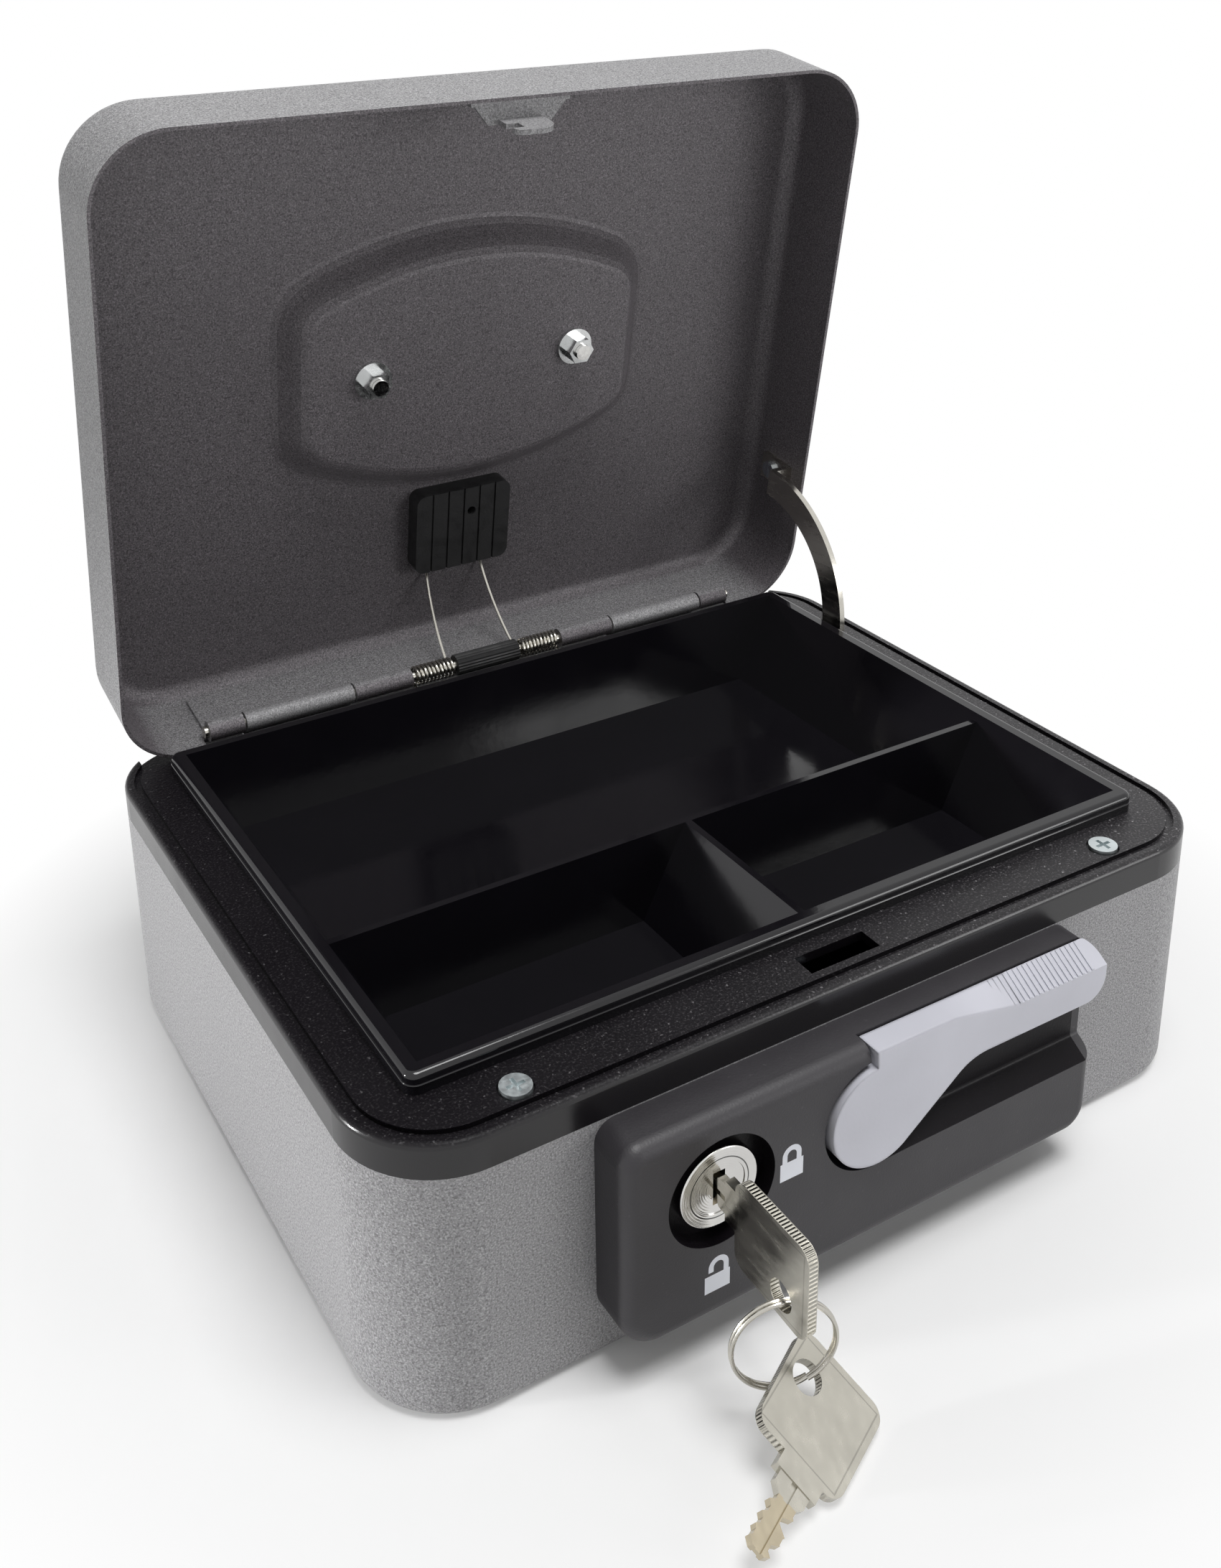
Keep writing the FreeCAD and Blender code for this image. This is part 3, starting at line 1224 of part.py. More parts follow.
def release_lever():
    pivot = (S.pivot_x, pivot_z)
    y = (lever_front, lever_rear)
    disc = rod("lever_disc", "y", pivot, y, S.disc_radius)
    join = (S.pivot_x + S.disc_radius * cosine(S.crook_angle), pivot_z - S.disc_radius * sine(S.crook_angle))
    arm = plate("lever_arm", "y",
                [(S.pivot_x - S.pocket_gap, lever_top), (S.lever_tip, lever_top, S.tip_round),
                 (S.lever_tip, lever_under, S.chin_round), (S.lever_crook, lever_under, S.crook_round),
                 join, pivot],
                y)
    top = float(lever_top)
    full = float(S.thumb_drop)
    spare = 1.0
    slope = 1 + spare / float(S.lever_thick)
    shape = []
    for x, drop in ((S.thumb_start, 0.0), (S.thumb_full, full), (S.lever_tip + spare, full)):
        wire = outline("x", [(lever_rear, top), (lever_rear, top + spare),
                             (lever_front - spare, top + spare), (lever_front - spare, top - drop * slope)])
        wire.translate(Vector(float(x), 0, 0))
        shape.append(wire)
    handle = cut("lever_shape", fuse("lever_blank", disc, arm), loft("thumb_slope", shape))
    ribs = []
    low = lever_top - S.rib_rise
    high = lever_top + S.rib_rise
    section = [(lever_rear, low), (lever_rear, lever_top), (lever_rear - S.rib_rise, lever_top),
               (lever_front, high - S.thumb_drop), (lever_front, low - S.thumb_drop)]
    for place in range(THUMB_RIBS):
        x = S.rib_first + place * S.rib_step
        ribs.append(plate("thumb_rib", "x", section, (x, x + S.rib_step / 2)))
    shaft = rod("lever_shaft", "y", pivot, (lever_rear - S.gap, crank_span[1]), S.shaft_radius)
    thread = rod("shaft_thread", "y", pivot, (crank_span[1] - S.screw_reach, crank_span[1] + S.gap),
                 S.screw_radius + S.fit)
    return node(cut("release_lever", fuse("lever_body", handle, shaft, *ribs), thread))


crank_span = (front_inside + S.groove_gap, front_inside + S.groove_gap + S.crank_thick)


def lever_crank():
    pivot = (S.pivot_x, pivot_z)
    end = (S.pivot_x, slide_z)
    hub = rod("crank_hub_disc", "y", pivot, crank_span, S.crank_hub)
    toe = rod("crank_toe", "y", end, crank_span, 2 * S.crank_pin)
    arm = block("crank_bar", about(S.pivot_x, 2 * S.crank_pin), crank_span, (slide_z, pivot_z))
    pin = rod("crank_peg", "y", end, (crank_span[1] - S.gap, latch_span[1] + 2 * S.gap), S.crank_pin)
    bore = rod("crank_bore", "y", pivot, (crank_span[0] - S.gap, crank_span[1] + S.gap),
               S.shaft_radius + S.fit)
    return node(cut("lever_crank", fuse("crank_blank", hub, toe, arm, pin), bore))


def lever_screw():
    bolt = screw("shaft_bolt", "y", (S.pivot_x, pivot_z), crank_span[1], S.screw_reach)
    return node(group("lever_screw", bolt))


def latch_slide():
    bar_z = about(slide_z, S.slide_half)
    arm_right = -S.tongue_half - S.arm_gap
    nose_top = S.body_height - S.notch_drop - S.gap
    nose_low = nose_top - S.notch_height + 2 * S.gap
    pieces = [block("bar", (S.slide_left, S.slide_right), latch_span, bar_z)]
    pieces.append(block("lug", (S.slide_left, S.slide_left + S.lug_width), latch_span,
                        (bar_z[0], bar_z[1] + S.lug_height)))
    pieces.append(block("arm", (arm_right - S.arm_width, arm_right), latch_span, (bar_z[0], nose_top)))
    pieces.append(block("nose", (arm_right - S.arm_width, S.latch_bite - S.tongue_half), latch_span,
                        (nose_low, nose_top)))
    slot = block("pin_slot", about(S.pivot_x, S.crank_pin + 2 * S.fit),
                 (latch_span[0] - S.gap, latch_span[1] + S.gap), about(slide_z, 2 * S.crank_pin))
    return node(cut("latch_slide", fuse("slide_blank", *pieces), slot))


def latch_guide():
    bar_z = about(slide_z, S.slide_half)
    depth = (front_inside, latch_span[1] + S.guide_wall)
    pieces = [block("strip", (S.guide_left, S.post_x + S.post_width),
                    (front_inside, front_inside + S.guide_wall), (guide_low, guide_low + S.guide_wall))]
    for left in (S.guide_left, S.guide_right):
        pieces.append(block("guide", (left, left + S.guide_width), depth,
                            (guide_low, bar_z[1] + S.guide_wall)))
    pieces.append(block("post", (S.post_x, S.post_x + S.post_width), depth, (guide_low, bar_z[1])))
    channel = block("channel", (S.guide_left - S.gap, S.guide_right + S.guide_width + S.gap),
                    (latch_span[0] - S.gap, latch_span[1] + S.gap), (bar_z[0] - S.gap, bar_z[1] + S.gap))
    return node(cut("latch_guide", fuse("guide_blank", *pieces), channel))


def latch_spring():
    wire = float(S.pull_wire)
    clear = wire / 2 + float(S.gap)
    x_span = (float(S.slide_right) + clear, float(S.post_x) - clear)
    middle = Vector(0, float(latch_y), float(slide_z))
    (start, heading), _, edges = helix(middle, float(S.pull_radius), 0.0, 2 * math.pi * PULL_TURNS, x_span)
    print(f"latch spring: least gap to itself {least_gap(edges, wire):.2f}")
    return node(solid("latch_spring", wire_tube(edges, start, heading, wire / 2)))


# Keys: each cut's place along the bitted stretch and its depth, as shares
KEY_CUTS = ((0.1, 0.5), (0.35, 0.75), (0.6, 0.4), (0.82, 0.6))


def key(name):
    """A flat key, its bow's end at the origin, its blade along +X and its thickness about z 0."""
    z = both(S.key_thick / 2)
    half = S.blade_half
    round_off = S.bow_corner
    bow = plate(name + "_bow", "z",
                [(0, -S.bow_low, round_off), (S.bow_length, S.bow_taper - S.bow_low, round_off),
                 (S.bow_length, S.bow_high, round_off), (0, S.bow_high, round_off)], z)
    shoulder = block(name + "_shoulder", (S.bow_length / 2, S.bow_length + S.key_show / 2),
                     about(0, S.shoulder_half), z)
    blade = plate(name + "_blade", "z",
                  [(S.bow_length / 2, -half), (S.key_length - half / 2, -half), (S.key_length, -half * 0.4),
                   (S.key_length, half * 0.4), (S.key_length - half / 2, half), (S.bow_length / 2, half)],
                  (z[0] * 0.8, z[1] * 0.8))
    tools = [rod(name + "_hole", "z", (S.hole_along, -S.hole_below), (2 * z[0], 2 * z[1]), S.hole_radius)]
    bite = S.key_length - S.bow_length - S.key_show
    outer = half + S.gap
    for place, (share, deep) in enumerate(KEY_CUTS):
        middle = S.bow_length + S.key_show + bite * share
        wide = half * 0.35
        side = 1 if place % 2 else -1
        for edge, depth in ((side, deep), (-side, deep * 0.6)):
            tip = edge * (half - half * depth)
            tools.append(plate(name + "_cut", "z",
                               [(middle - 2 * wide, edge * outer), (middle - wide / 2, tip),
                                (middle + wide / 2, tip), (middle + 2 * wide, edge * outer)],
                               (2 * z[0], 2 * z[1])))
    groove = (S.bow_length + S.key_show / 2, S.key_length + S.gap)
    for low, high in ((2 * z[0], 0.45 * z[0]), (0.45 * z[1], 2 * z[1])):
        tools.append(block(name + "_groove", groove, about(0, half * 0.18), (low, high)))
    return cut(name, fuse(name + "_blank", bow, shoulder, blade), *tools)


def key_in_lock():
    made = key("key_in_lock")
    upright = Rotation(Vector(0, 1, 0), Vector(0, 0, 1), Vector(1, 0, 0), "ZXY")
    made.Placement = FreeCAD.Placement(Vector(), upright)
    for letter, place in zip("xyz", (S.lock_x, bow_end, lock_z)):
        bind(made, f"Placement.Base.{letter}", place)
    return node(made)


def key_ring():
    """The ring hangs on the lower edge of the key's hole."""
    made = doc.addObject("Part::Torus", "ring")
    bind(made, "Radius1", S.ring_radius)
    bind(made, "Radius2", S.ring_wire)
    lie = Rotation(Vector(0, 0, 1), float(S.ring_turn)).multiply(Rotation(Vector(1, 0, 0), 90))
    made.Placement = FreeCAD.Placement(Vector(), lie)
    for letter, place in zip("xyz", (S.lock_x, ring_y, ring_z)):
        bind(made, f"Placement.Base.{letter}", place)
    return node(group("key_ring", made))


def spare_key():
    """The second key leans on the ring, with one edge of its bow on the table."""
    made = key("spare_key")
    turn = Rotation(Vector(0, 0, 1), float(S.spare_turn))
    roll = Rotation(Vector(1, 0, 0), float(S.spare_roll))
    lie = turn.multiply(roll)
    along = S.ring_radius * sine(S.spare_round)
    hole = Vector(S.lock_x + along * cosine(S.ring_turn), ring_y + along * sine(S.ring_turn),
                  ring_z - S.ring_radius * cosine(S.spare_round))
    held = Vector(S.hole_along - S.spare_shift, -S.hole_below, 0)
    made.Placement = FreeCAD.Placement(hole - lie.multVec(held), lie)
    return node(made)


body_shell()
top_frame()
frame_screws()
body_hinge_leaf()
hinge_rivets()
hinge_pin()
lid_hinge_leaf()
spring_sleeve()
leg_enter, leg_heading = lift_springs()
lift_pad(leg_enter, leg_heading)
lid_shell()
latch_hook()
lid_stay()
stay_rivet()
handle_lugs()
flange_nuts()
handle_bail()
cash_tray()
lock_housing()
housing_screws()
lock_cylinder()
lock_nut()
lock_plug()
lock_cam()
cam_screw()
release_lever()
lever_crank()
lever_screw()
latch_slide()
latch_guide()
latch_spring()
key_in_lock()
key_ring()
spare_key()

# Checks and files
doc.recompute()
for thing in doc.Objects:
    if "Invalid" in thing.State or "Error" in thing.State:
        raise RuntimeError(f"{thing.Label} did not build")
for made in NODES:
    if made.Shape.isNull() or not made.Shape.isValid() or not made.Shape.Solids:
        raise RuntimeError(f"{made.Label} has no sound shape")
os.makedirs("parts", exist_ok=True)
for made in NODES:
    made.Shape.exportStep(f"parts/{made.Label}.step")
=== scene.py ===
import math

import bpy
from mathutils import Matrix, Vector


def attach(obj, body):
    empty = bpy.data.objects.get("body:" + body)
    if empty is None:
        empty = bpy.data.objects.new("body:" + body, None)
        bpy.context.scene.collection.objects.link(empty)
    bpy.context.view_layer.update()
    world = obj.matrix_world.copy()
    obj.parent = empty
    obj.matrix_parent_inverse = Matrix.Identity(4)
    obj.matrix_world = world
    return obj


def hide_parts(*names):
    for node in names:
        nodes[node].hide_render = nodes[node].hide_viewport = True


# An open cash box on a pale floor: the frame's solids get their finishes, and fine pieces are added.
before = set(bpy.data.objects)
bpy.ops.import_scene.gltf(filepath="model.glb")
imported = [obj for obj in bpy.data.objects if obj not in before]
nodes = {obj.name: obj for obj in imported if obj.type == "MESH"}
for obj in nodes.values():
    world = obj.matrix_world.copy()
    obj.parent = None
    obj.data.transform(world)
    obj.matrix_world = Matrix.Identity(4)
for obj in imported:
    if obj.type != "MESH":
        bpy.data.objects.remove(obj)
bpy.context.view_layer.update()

MM = 0.001

# The hinge pin, and the turn that takes a piece drawn on the closed lid to where the lid stands open
HINGE = Vector((0, 74.1, 62.8)) * MM
OPEN = math.radians(80)
ON_LID = Matrix.Translation(HINGE) @ Matrix.Rotation(-OPEN, 4, "X") @ Matrix.Translation(-HINGE)

# The lock's middle, and the front of the housing round it in millimetres
LOCK = Vector((-39.6, -89, 36.3)) * MM
HOUSING_FRONT = -90

# Each key's own axes: along the blade from the bow's end, up across it and through its thickness
KEY_END = -115.5 * MM
KEY_TURN = Matrix(((0, 0, 1, LOCK.x), (1, 0, 0, KEY_END), (0, 1, 0, LOCK.z), (0, 0, 0, 1)))
KEY_HOLE = Vector((6.7, -7, 0)) * MM
SPARE_HEADING = math.radians(207)
SPARE_LEAN = math.radians(-36)
SPARE_LIE = Matrix.Rotation(SPARE_HEADING, 4, "Z") @ Matrix.Rotation(SPARE_LEAN, 4, "X")
SPARE_HOLE = Vector((-35.73, -109.71, 9.7)) * MM
SPARE_TURN = Matrix.Translation(SPARE_HOLE - SPARE_LIE @ KEY_HOLE) @ SPARE_LIE


# Shader nodes
class Shader:
    """A material with a principled surface and short ways to add procedural detail."""

    def __init__(self, name, color, roughness, metallic=0.0):
        self.material = bpy.data.materials.new(name)
        self.material.use_nodes = True
        self.tree = self.material.node_tree
        self.surface = self.tree.nodes["Principled BSDF"]
        self.set("Base Color", (*color, 1))
        self.set("Roughness", roughness)
        self.set("Metallic", metallic)
        coordinates = self.add("ShaderNodeTexCoord").outputs
        self.place = coordinates["Object"]
        self.facing = coordinates["Normal"]
        self.gloss = roughness
        self.normal = None

    def put(self, value, socket):
        """Links an output to a socket, or gives the socket a plain value."""
        if isinstance(value, bpy.types.NodeSocket):
            self.tree.links.new(value, socket)
        else:
            socket.default_value = value

    def set(self, name, value):
        """Links or gives a value to one of the surface's inputs."""
        self.put(value, self.surface.inputs[name])

    def add(self, kind, **sockets):
        """A new node, with its inputs by name and an underscore for each space."""
        made = self.tree.nodes.new(kind)
        for name, value in sockets.items():
            self.put(value, made.inputs[name.replace("_", " ")])
        return made

    def math(self, kind, first, second=0.0):
        """The result of an operation on one or two numbers."""
        made = self.tree.nodes.new("ShaderNodeMath")
        made.operation = kind
        self.put(first, made.inputs[0])
        self.put(second, made.inputs[1])
        return made.outputs[0]

    def vector(self, kind, first, second=(0, 0, 0)):
        """The outputs of an operation on vectors."""
        made = self.tree.nodes.new("ShaderNodeVectorMath")
        made.operation = kind
        self.put(first, made.inputs[0])
        self.put(second, made.inputs[1])
        return made.outputs

    def axes(self, turn=None):
        """The place's three coordinates, in a piece's own axes where its matrix is given."""
        place = self.place
        if turn is not None:
            back = turn.inverted()
            place = self.add("ShaderNodeMapping", Vector=place, Location=back.translation,
                             Rotation=back.to_euler()).outputs["Vector"]
        return self.add("ShaderNodeSeparateXYZ", Vector=place).outputs

    def upward(self):
        """How far a face looks up in its rest pose: one for a level top."""
        return self.add("ShaderNodeSeparateXYZ", Vector=self.facing).outputs["Z"]

    def noise(self, scale, detail=2.0, stretch=None):
        """A grain whose scale is in cells to the metre, drawn out along an axis by stretch."""
        place = self.place
        if stretch is not None:
            place = self.add("ShaderNodeMapping", Vector=place, Scale=stretch).outputs["Vector"]
        return self.add("ShaderNodeTexNoise", Vector=place, Scale=scale, Detail=detail).outputs["Fac"]

    def span(self, value, low, high, from_low=0.3, from_high=0.7):
        """Maps a range, a grain's middle one unless told otherwise, to a span from low to high."""
        made = self.add("ShaderNodeMapRange", Value=value, From_Min=from_low, From_Max=from_high,
                        To_Min=low, To_Max=high)
        return made.outputs["Result"]

    def blend(self, mask, off, on):
        """One value where a mask is nought and another where it is one."""
        return self.span(mask, off, on, 0.0, 1.0)

    def band(self, value, low, high):
        """One where a value lies between two limits."""
        above = self.math("GREATER_THAN", value, low)
        below = self.math("LESS_THAN", value, high)
        return self.math("MULTIPLY", above, below)

    def both(self, *masks):
        """The product of masks: one only where each of them is."""
        total = masks[0]
        for mask in masks[1:]:
            total = self.math("MULTIPLY", total, mask)
        return total

    def radius(self, across, up):
        """Distance from an axis, given as the two coordinates across it."""
        squares = self.math("ADD", self.math("MULTIPLY", across, across), self.math("MULTIPLY", up, up))
        return self.math("SQRT", squares)

    def waves(self, value, pitch):
        """Even waves along a value, a pitch apart."""
        return self.math("SINE", self.math("MULTIPLY", value, math.tau / pitch))

    def tint(self, factor, color, blend="MIX"):
        """Mixes another colour over the base by a factor."""
        base = self.surface.inputs["Base Color"]
        before = base.links[0].from_socket if base.is_linked else tuple(base.default_value)
        made = self.tree.nodes.new("ShaderNodeMix")
        made.data_type = "RGBA"
        made.blend_type = blend
        self.put(factor, made.inputs["Factor"])
        self.put(before, made.inputs["A"])
        self.put((*color, 1), made.inputs["B"])
        self.put(made.outputs["Result"], base)

    def cloud(self, color, scale, amount, detail=2.0, start=0.3, full=0.7, where=None):
        """Lays a colour over a grain: none below the level start, the whole amount above full."""
        factor = self.span(self.noise(scale, detail), 0.0, amount, start, full)
        if where is not None:
            factor = self.both(where, factor)
        self.tint(factor, color)

    def rough(self, factor, low, high):
        """Roughness that follows a grain from low to high."""
        self.gloss = self.span(factor, low, high)
        self.set("Roughness", self.gloss)

    def turn_normal(self, made):
        """Takes a node's normal as the surface's, and as the start of the next one's."""
        self.normal = made.outputs["Normal"]
        self.set("Normal", self.normal)

    def round_edges(self, radius, ribs_from):
        """Shades the edges as if they were rounded, but for the ribs beyond a place along X."""
        plain = self.math("LESS_THAN", self.axes()["X"], ribs_from)
        self.turn_normal(self.add("ShaderNodeBevel", Radius=self.math("MULTIPLY", plain, radius)))

    def bump(self, height, depth):
        """Fine relief, its depth in metres, over any normal set before."""
        made = self.add("ShaderNodeBump", Height=height, Strength=1.0, Distance=depth)
        if self.normal is not None:
            self.put(self.normal, made.inputs["Normal"])
        self.turn_normal(made)


def shade(color, share):
    """A colour's share, lighter above one and darker below."""
    return tuple(part * share for part in color)


def from_lock(made):
    """Distance from the lock's axis, in a material's own nodes."""
    axes = made.axes()
    across = made.math("SUBTRACT", axes["X"], LOCK.x)
    up = made.math("SUBTRACT", axes["Z"], LOCK.z)
    return made.radius(across, up)


# Painted shade for inside the lid, and finishes: specks on black plastic (partly painted glints on the
# frame's deck), a plastic's usual sheen, the lever's ribs
PAINTED_INSIDE_SHADE = (0.48, 0.445, 0.466)
SPECK_AND_GLINT = (0.3, 0.29, 0.3)
FINE_SPECK_AND_GLINT = (0.3, 0.28, 0.3)
PLAIN_SHEEN = 0.5
RIBS_FROM = 30.5 * MM


def powder_coat(name, color, fleck, dark, depth, inside=None):
    """Textured paint: bright and dark flecks, each a share of the colour, on a finely wrinkled surface.

    Faces turned towards the point called inside are darker with painted shade, but for those that look up.
    """
    made = Shader(name, color, roughness=0.5, metallic=0.12)
    made.cloud(shade(color, fleck), scale=3000, amount=0.8, start=0.5, full=0.64)
    made.cloud(shade(color, dark), scale=2400, amount=0.85, start=0.5, full=0.64)
    made.cloud(shade(color, 0.8), scale=28, amount=0.14, detail=3)
    # Painted shade on the inner faces, weaker where they look up
    if inside is not None:
        away = made.vector("SUBTRACT", made.place, inside)["Vector"]
        outward = made.vector("DOT_PRODUCT", away, made.facing)["Value"]
        inner = made.math("LESS_THAN", outward, 0.0)
        shade_weight = made.span(made.upward(), 1.0, 0.15, from_low=0.78, from_high=0.95)
        made.tint(made.both(inner, shade_weight), PAINTED_INSIDE_SHADE, "MULTIPLY")
    made.rough(made.noise(scale=900), low=0.42, high=0.58)
    made.bump(made.noise(scale=2600), depth)
    return made.material


def plastic(name, color, low, high):
    """The start of a plastic: lighter clouds, and a gloss that varies between two roughnesses."""
    made = Shader(name, color, roughness=(low + high) / 2)
    made.cloud(shade(color, 1.4), scale=35, amount=0.35, detail=3)
    made.rough(made.noise(scale=70, detail=4), low, high)
    return made


def moulded(name, color, low, high, grain, depth, edge=0.0):
    """Moulded plastic with a fine grain and, where an edge is given, edges shaded round by it."""
    made = plastic(name, color, low, high)
    if edge:
        made.round_edges(edge, RIBS_FROM)
    made.bump(made.noise(grain), depth)
    return made.material


# The deck's left and right ends
DECK_SPAN = (-90 * MM, 90 * MM)


def frame_plastic(name, color):
    """The frame's plastic: smooth sides, and a grained deck with more specks and sheen to the right, the
    specks being dust and partly painted glints and sheen.
    """
    made = plastic(name, color, low=0.36, high=0.48)
    deck = made.span(made.upward(), 0.0, 1.0, from_low=0.5, from_high=0.9)
    along = made.axes()["X"]
    sheen = made.math("SUBTRACT", made.span(along, 0.1, 0.42, *DECK_SPAN), PLAIN_SHEEN)
    made.set("Specular IOR Level", made.math("ADD", made.both(deck, sheen), PLAIN_SHEEN))
    # Pale specks on the deck: dust, and painted glints whose painted sheen grows towards the right
    dust_and_sheen = made.both(deck, made.span(along, 0.4, 1.6, *DECK_SPAN))
    made.cloud(FINE_SPECK_AND_GLINT, scale=2100, amount=0.175, start=0.53, full=0.7, where=dust_and_sheen)
    made.cloud(SPECK_AND_GLINT, scale=1100, amount=0.7, start=0.65, full=0.75, where=dust_and_sheen)
    made.set("Roughness", made.both(made.gloss, made.blend(deck, 0.55, 1.0)))
    made.bump(made.both(made.noise(scale=1500), deck), depth=0.1 * MM)
    return made.material


# The lever's pocket and the dish round the lock, where the housing gets painted shade
POCKET_X = (-16 * MM, 51.5 * MM)
POCKET_Z = (22 * MM, 50 * MM)
DISH_RADIUS = 11.6 * MM
BEHIND_FRONT = (HOUSING_FRONT + 0.1) * MM
HOLLOW_PAINTED_SHADE = (0.25, 0.22, 0.25)


def housing_plastic(name, color):
    """The lock housing's plastic, with painted shade and a smoother surface in the lever's pocket and the
    dish round the lock.
    """
    made = plastic(name, color, low=0.42, high=0.54)
    made.cloud(SPECK_AND_GLINT, scale=1100, amount=0.08, start=0.67, full=0.76)
    x, y, z = made.axes()[:3]
    behind = made.math("GREATER_THAN", y, BEHIND_FRONT)
    pocket = made.both(behind, made.band(x, *POCKET_X), made.band(z, *POCKET_Z))
    dish = made.both(behind, made.math("LESS_THAN", from_lock(made), DISH_RADIUS))
    hollow = made.math("MAXIMUM", pocket, dish)
    # Painted shade in the pocket and the dish, where little light reaches
    made.tint(hollow, HOLLOW_PAINTED_SHADE, "MULTIPLY")
    made.set("Roughness", made.math("SUBTRACT", made.gloss, made.blend(hollow, 0.0, 0.16)))
    made.set("Specular IOR Level", made.blend(hollow, PLAIN_SHEEN, 0.12))
    made.bump(made.noise(scale=2400), depth=0.04 * MM)
    return made.material


def plated(name, color, low, high, depth, stretch=(1, 1, 1)):
    """Plated metal: faint drawn lines, gloss between two roughnesses and a little staining."""
    made = Shader(name, color, roughness=(low + high) / 2, metallic=1.0)
    lines = made.noise(scale=900, detail=3, stretch=stretch)
    made.rough(lines, low, high)
    made.cloud(shade(color, 0.68), scale=160, amount=0.35, detail=4)
    made.bump(lines, depth)
    return made.material


# The lock's face: a groove between two radii, and turning marks
GROOVE = (6.15 * MM, 6.4 * MM)
GROOVE_DARK = (0.03, 0.03, 0.03)
MARK_PITCH = 0.5 * MM


def lock_chrome(name, color):
    """Turned chrome: fine rings round the lock's axis and one dark groove."""
    made = Shader(name, color, roughness=0.12, metallic=1.0)
    away = from_lock(made)
    made.tint(made.band(away, *GROOVE), GROOVE_DARK)
    made.cloud(shade(color, 0.68), scale=160, amount=0.35, detail=4)
    made.bump(made.waves(away, MARK_PITCH), depth=0.004 * MM)
    made.rough(made.noise(scale=300, detail=3), low=0.08, high=0.18)
    return made.material


# A key in its own axes: just under half its thickness, the bow, the line in its rim, the bits, the reeds
EDGE_HALF = 0.86 * MM
BOW_LENGTH = 20.5 * MM
BOW_END = 20.6 * MM
BOW_BELOW = 11.9 * MM
BOW_ABOVE = 7.5 * MM
RIM_LINE = (1.15 * MM, 1.4 * MM)
BITS_FROM = 27 * MM
REED_PITCH = 0.75 * MM
REED_SLANT = 0.83
BRASS = (0.5, 0.38, 0.18)


def key_metal(name, color, turn):
    """Nickel on brass: a reeded bow edge, a line inside the bow's rim, and brass where the bits are cut."""
    made = Shader(name, color, roughness=0.24, metallic=1.0)
    along, up, thick = made.axes(turn)[:3]
    made.cloud(shade(color, 0.72), scale=160, amount=0.35, detail=4)
    edge = made.math("LESS_THAN", made.math("ABSOLUTE", thick), EDGE_HALF)
    bow = made.math("LESS_THAN", along, BOW_END)
    inset = made.math("MINIMUM", along, made.math("SUBTRACT", BOW_LENGTH, along))
    inset = made.math("MINIMUM", inset, made.math("ADD", up, BOW_BELOW))
    inset = made.math("MINIMUM", inset, made.math("SUBTRACT", BOW_ABOVE, up))
    line = made.both(bow, made.band(inset, *RIM_LINE))
    made.tint(made.blend(line, 0.0, 0.45), shade(color, 0.4))
    bits = made.both(edge, made.math("GREATER_THAN", along, BITS_FROM))
    made.tint(made.blend(bits, 0.0, 0.4), BRASS)
    made.rough(made.noise(scale=500, detail=3, stretch=(1, 0.3, 1)), low=0.16, high=0.3)
    slant = made.math("ADD", along, made.math("MULTIPLY", up, REED_SLANT))
    made.bump(made.both(edge, bow, made.waves(slant, REED_PITCH)), depth=0.12 * MM)
    made.bump(line, depth=-0.08 * MM)
    return made.material


def rubbery(name, color, worn):
    """Dull rubber with lighter, worn clouds."""
    made = Shader(name, color, roughness=0.62)
    made.rough(made.noise(scale=300, detail=3), low=0.5, high=0.74)
    made.cloud(worn, scale=60, amount=0.5, detail=3)
    made.bump(made.noise(scale=1600), depth=0.04 * MM)
    return made.material


# The materials. The point that the lid's inner faces look towards, used for their painted shade, lies in
# front of its open side.
PAINT = (0.3, 0.297, 0.304)
INSIDE_LID = ON_LID @ Vector((0, 0, -0.2))
TRAY_COLOR = (0.0052, 0.0047, 0.0064)
LEVER_COLOR = (0.57, 0.572, 0.63)
PRINT_COLOR = (0.78, 0.8, 0.86)
BRIGHT = (0.7, 0.69, 0.67)
KEY_COLOR = (0.52, 0.5, 0.44)
GREY = powder_coat("grey_powder_coat", PAINT, fleck=1.8, dark=0.52, depth=0.05 * MM)
# The lid's coat has painted shade on its inner faces
LID_GREY_PAINTED_SHADE = powder_coat("lid_powder_coat_painted_shade", PAINT, fleck=2.1, dark=0.4, depth=0.06 * MM, inside=INSIDE_LID)
HOOK_GREY = powder_coat("hook_powder_coat", PAINT, fleck=1.8, dark=0.52, depth=0.04 * MM)
FRAME = frame_plastic("grained_black", (0.005, 0.0041, 0.0055))
HOUSING = housing_plastic("housing_black", (0.023, 0.021, 0.0245))
TRAY = moulded("glossy_black", TRAY_COLOR, low=0.07, high=0.15, grain=420, depth=0.012 * MM)
LEVER = moulded("satin_grey", LEVER_COLOR, low=0.38, high=0.48, grain=1500, depth=0.012 * MM,
                edge=0.9 * MM)
PRINT = moulded("pale_print", PRINT_COLOR, low=0.5, high=0.62, grain=2200, depth=0.01 * MM)
CHROME = plated("polished_chrome", BRIGHT, low=0.07, high=0.17, depth=0.004 * MM)
LOCK_CHROME = lock_chrome("turned_chrome", BRIGHT)
NICKEL = plated("bright_nickel", (0.56, 0.54, 0.49), low=0.17, high=0.3, depth=0.008 * MM,
                stretch=(1, 0.15, 1))
ZINC = plated("zinc_plate", (0.6, 0.65, 0.71), low=0.18, high=0.34, depth=0.008 * MM,
              stretch=(1, 1, 0.3))
NUT = plated("nut_plate", (0.72, 0.73, 0.73), low=0.17, high=0.28, depth=0.008 * MM)
SCREW = plated("screw_zinc", (0.62, 0.67, 0.68), low=0.3, high=0.46, depth=0.02 * MM)
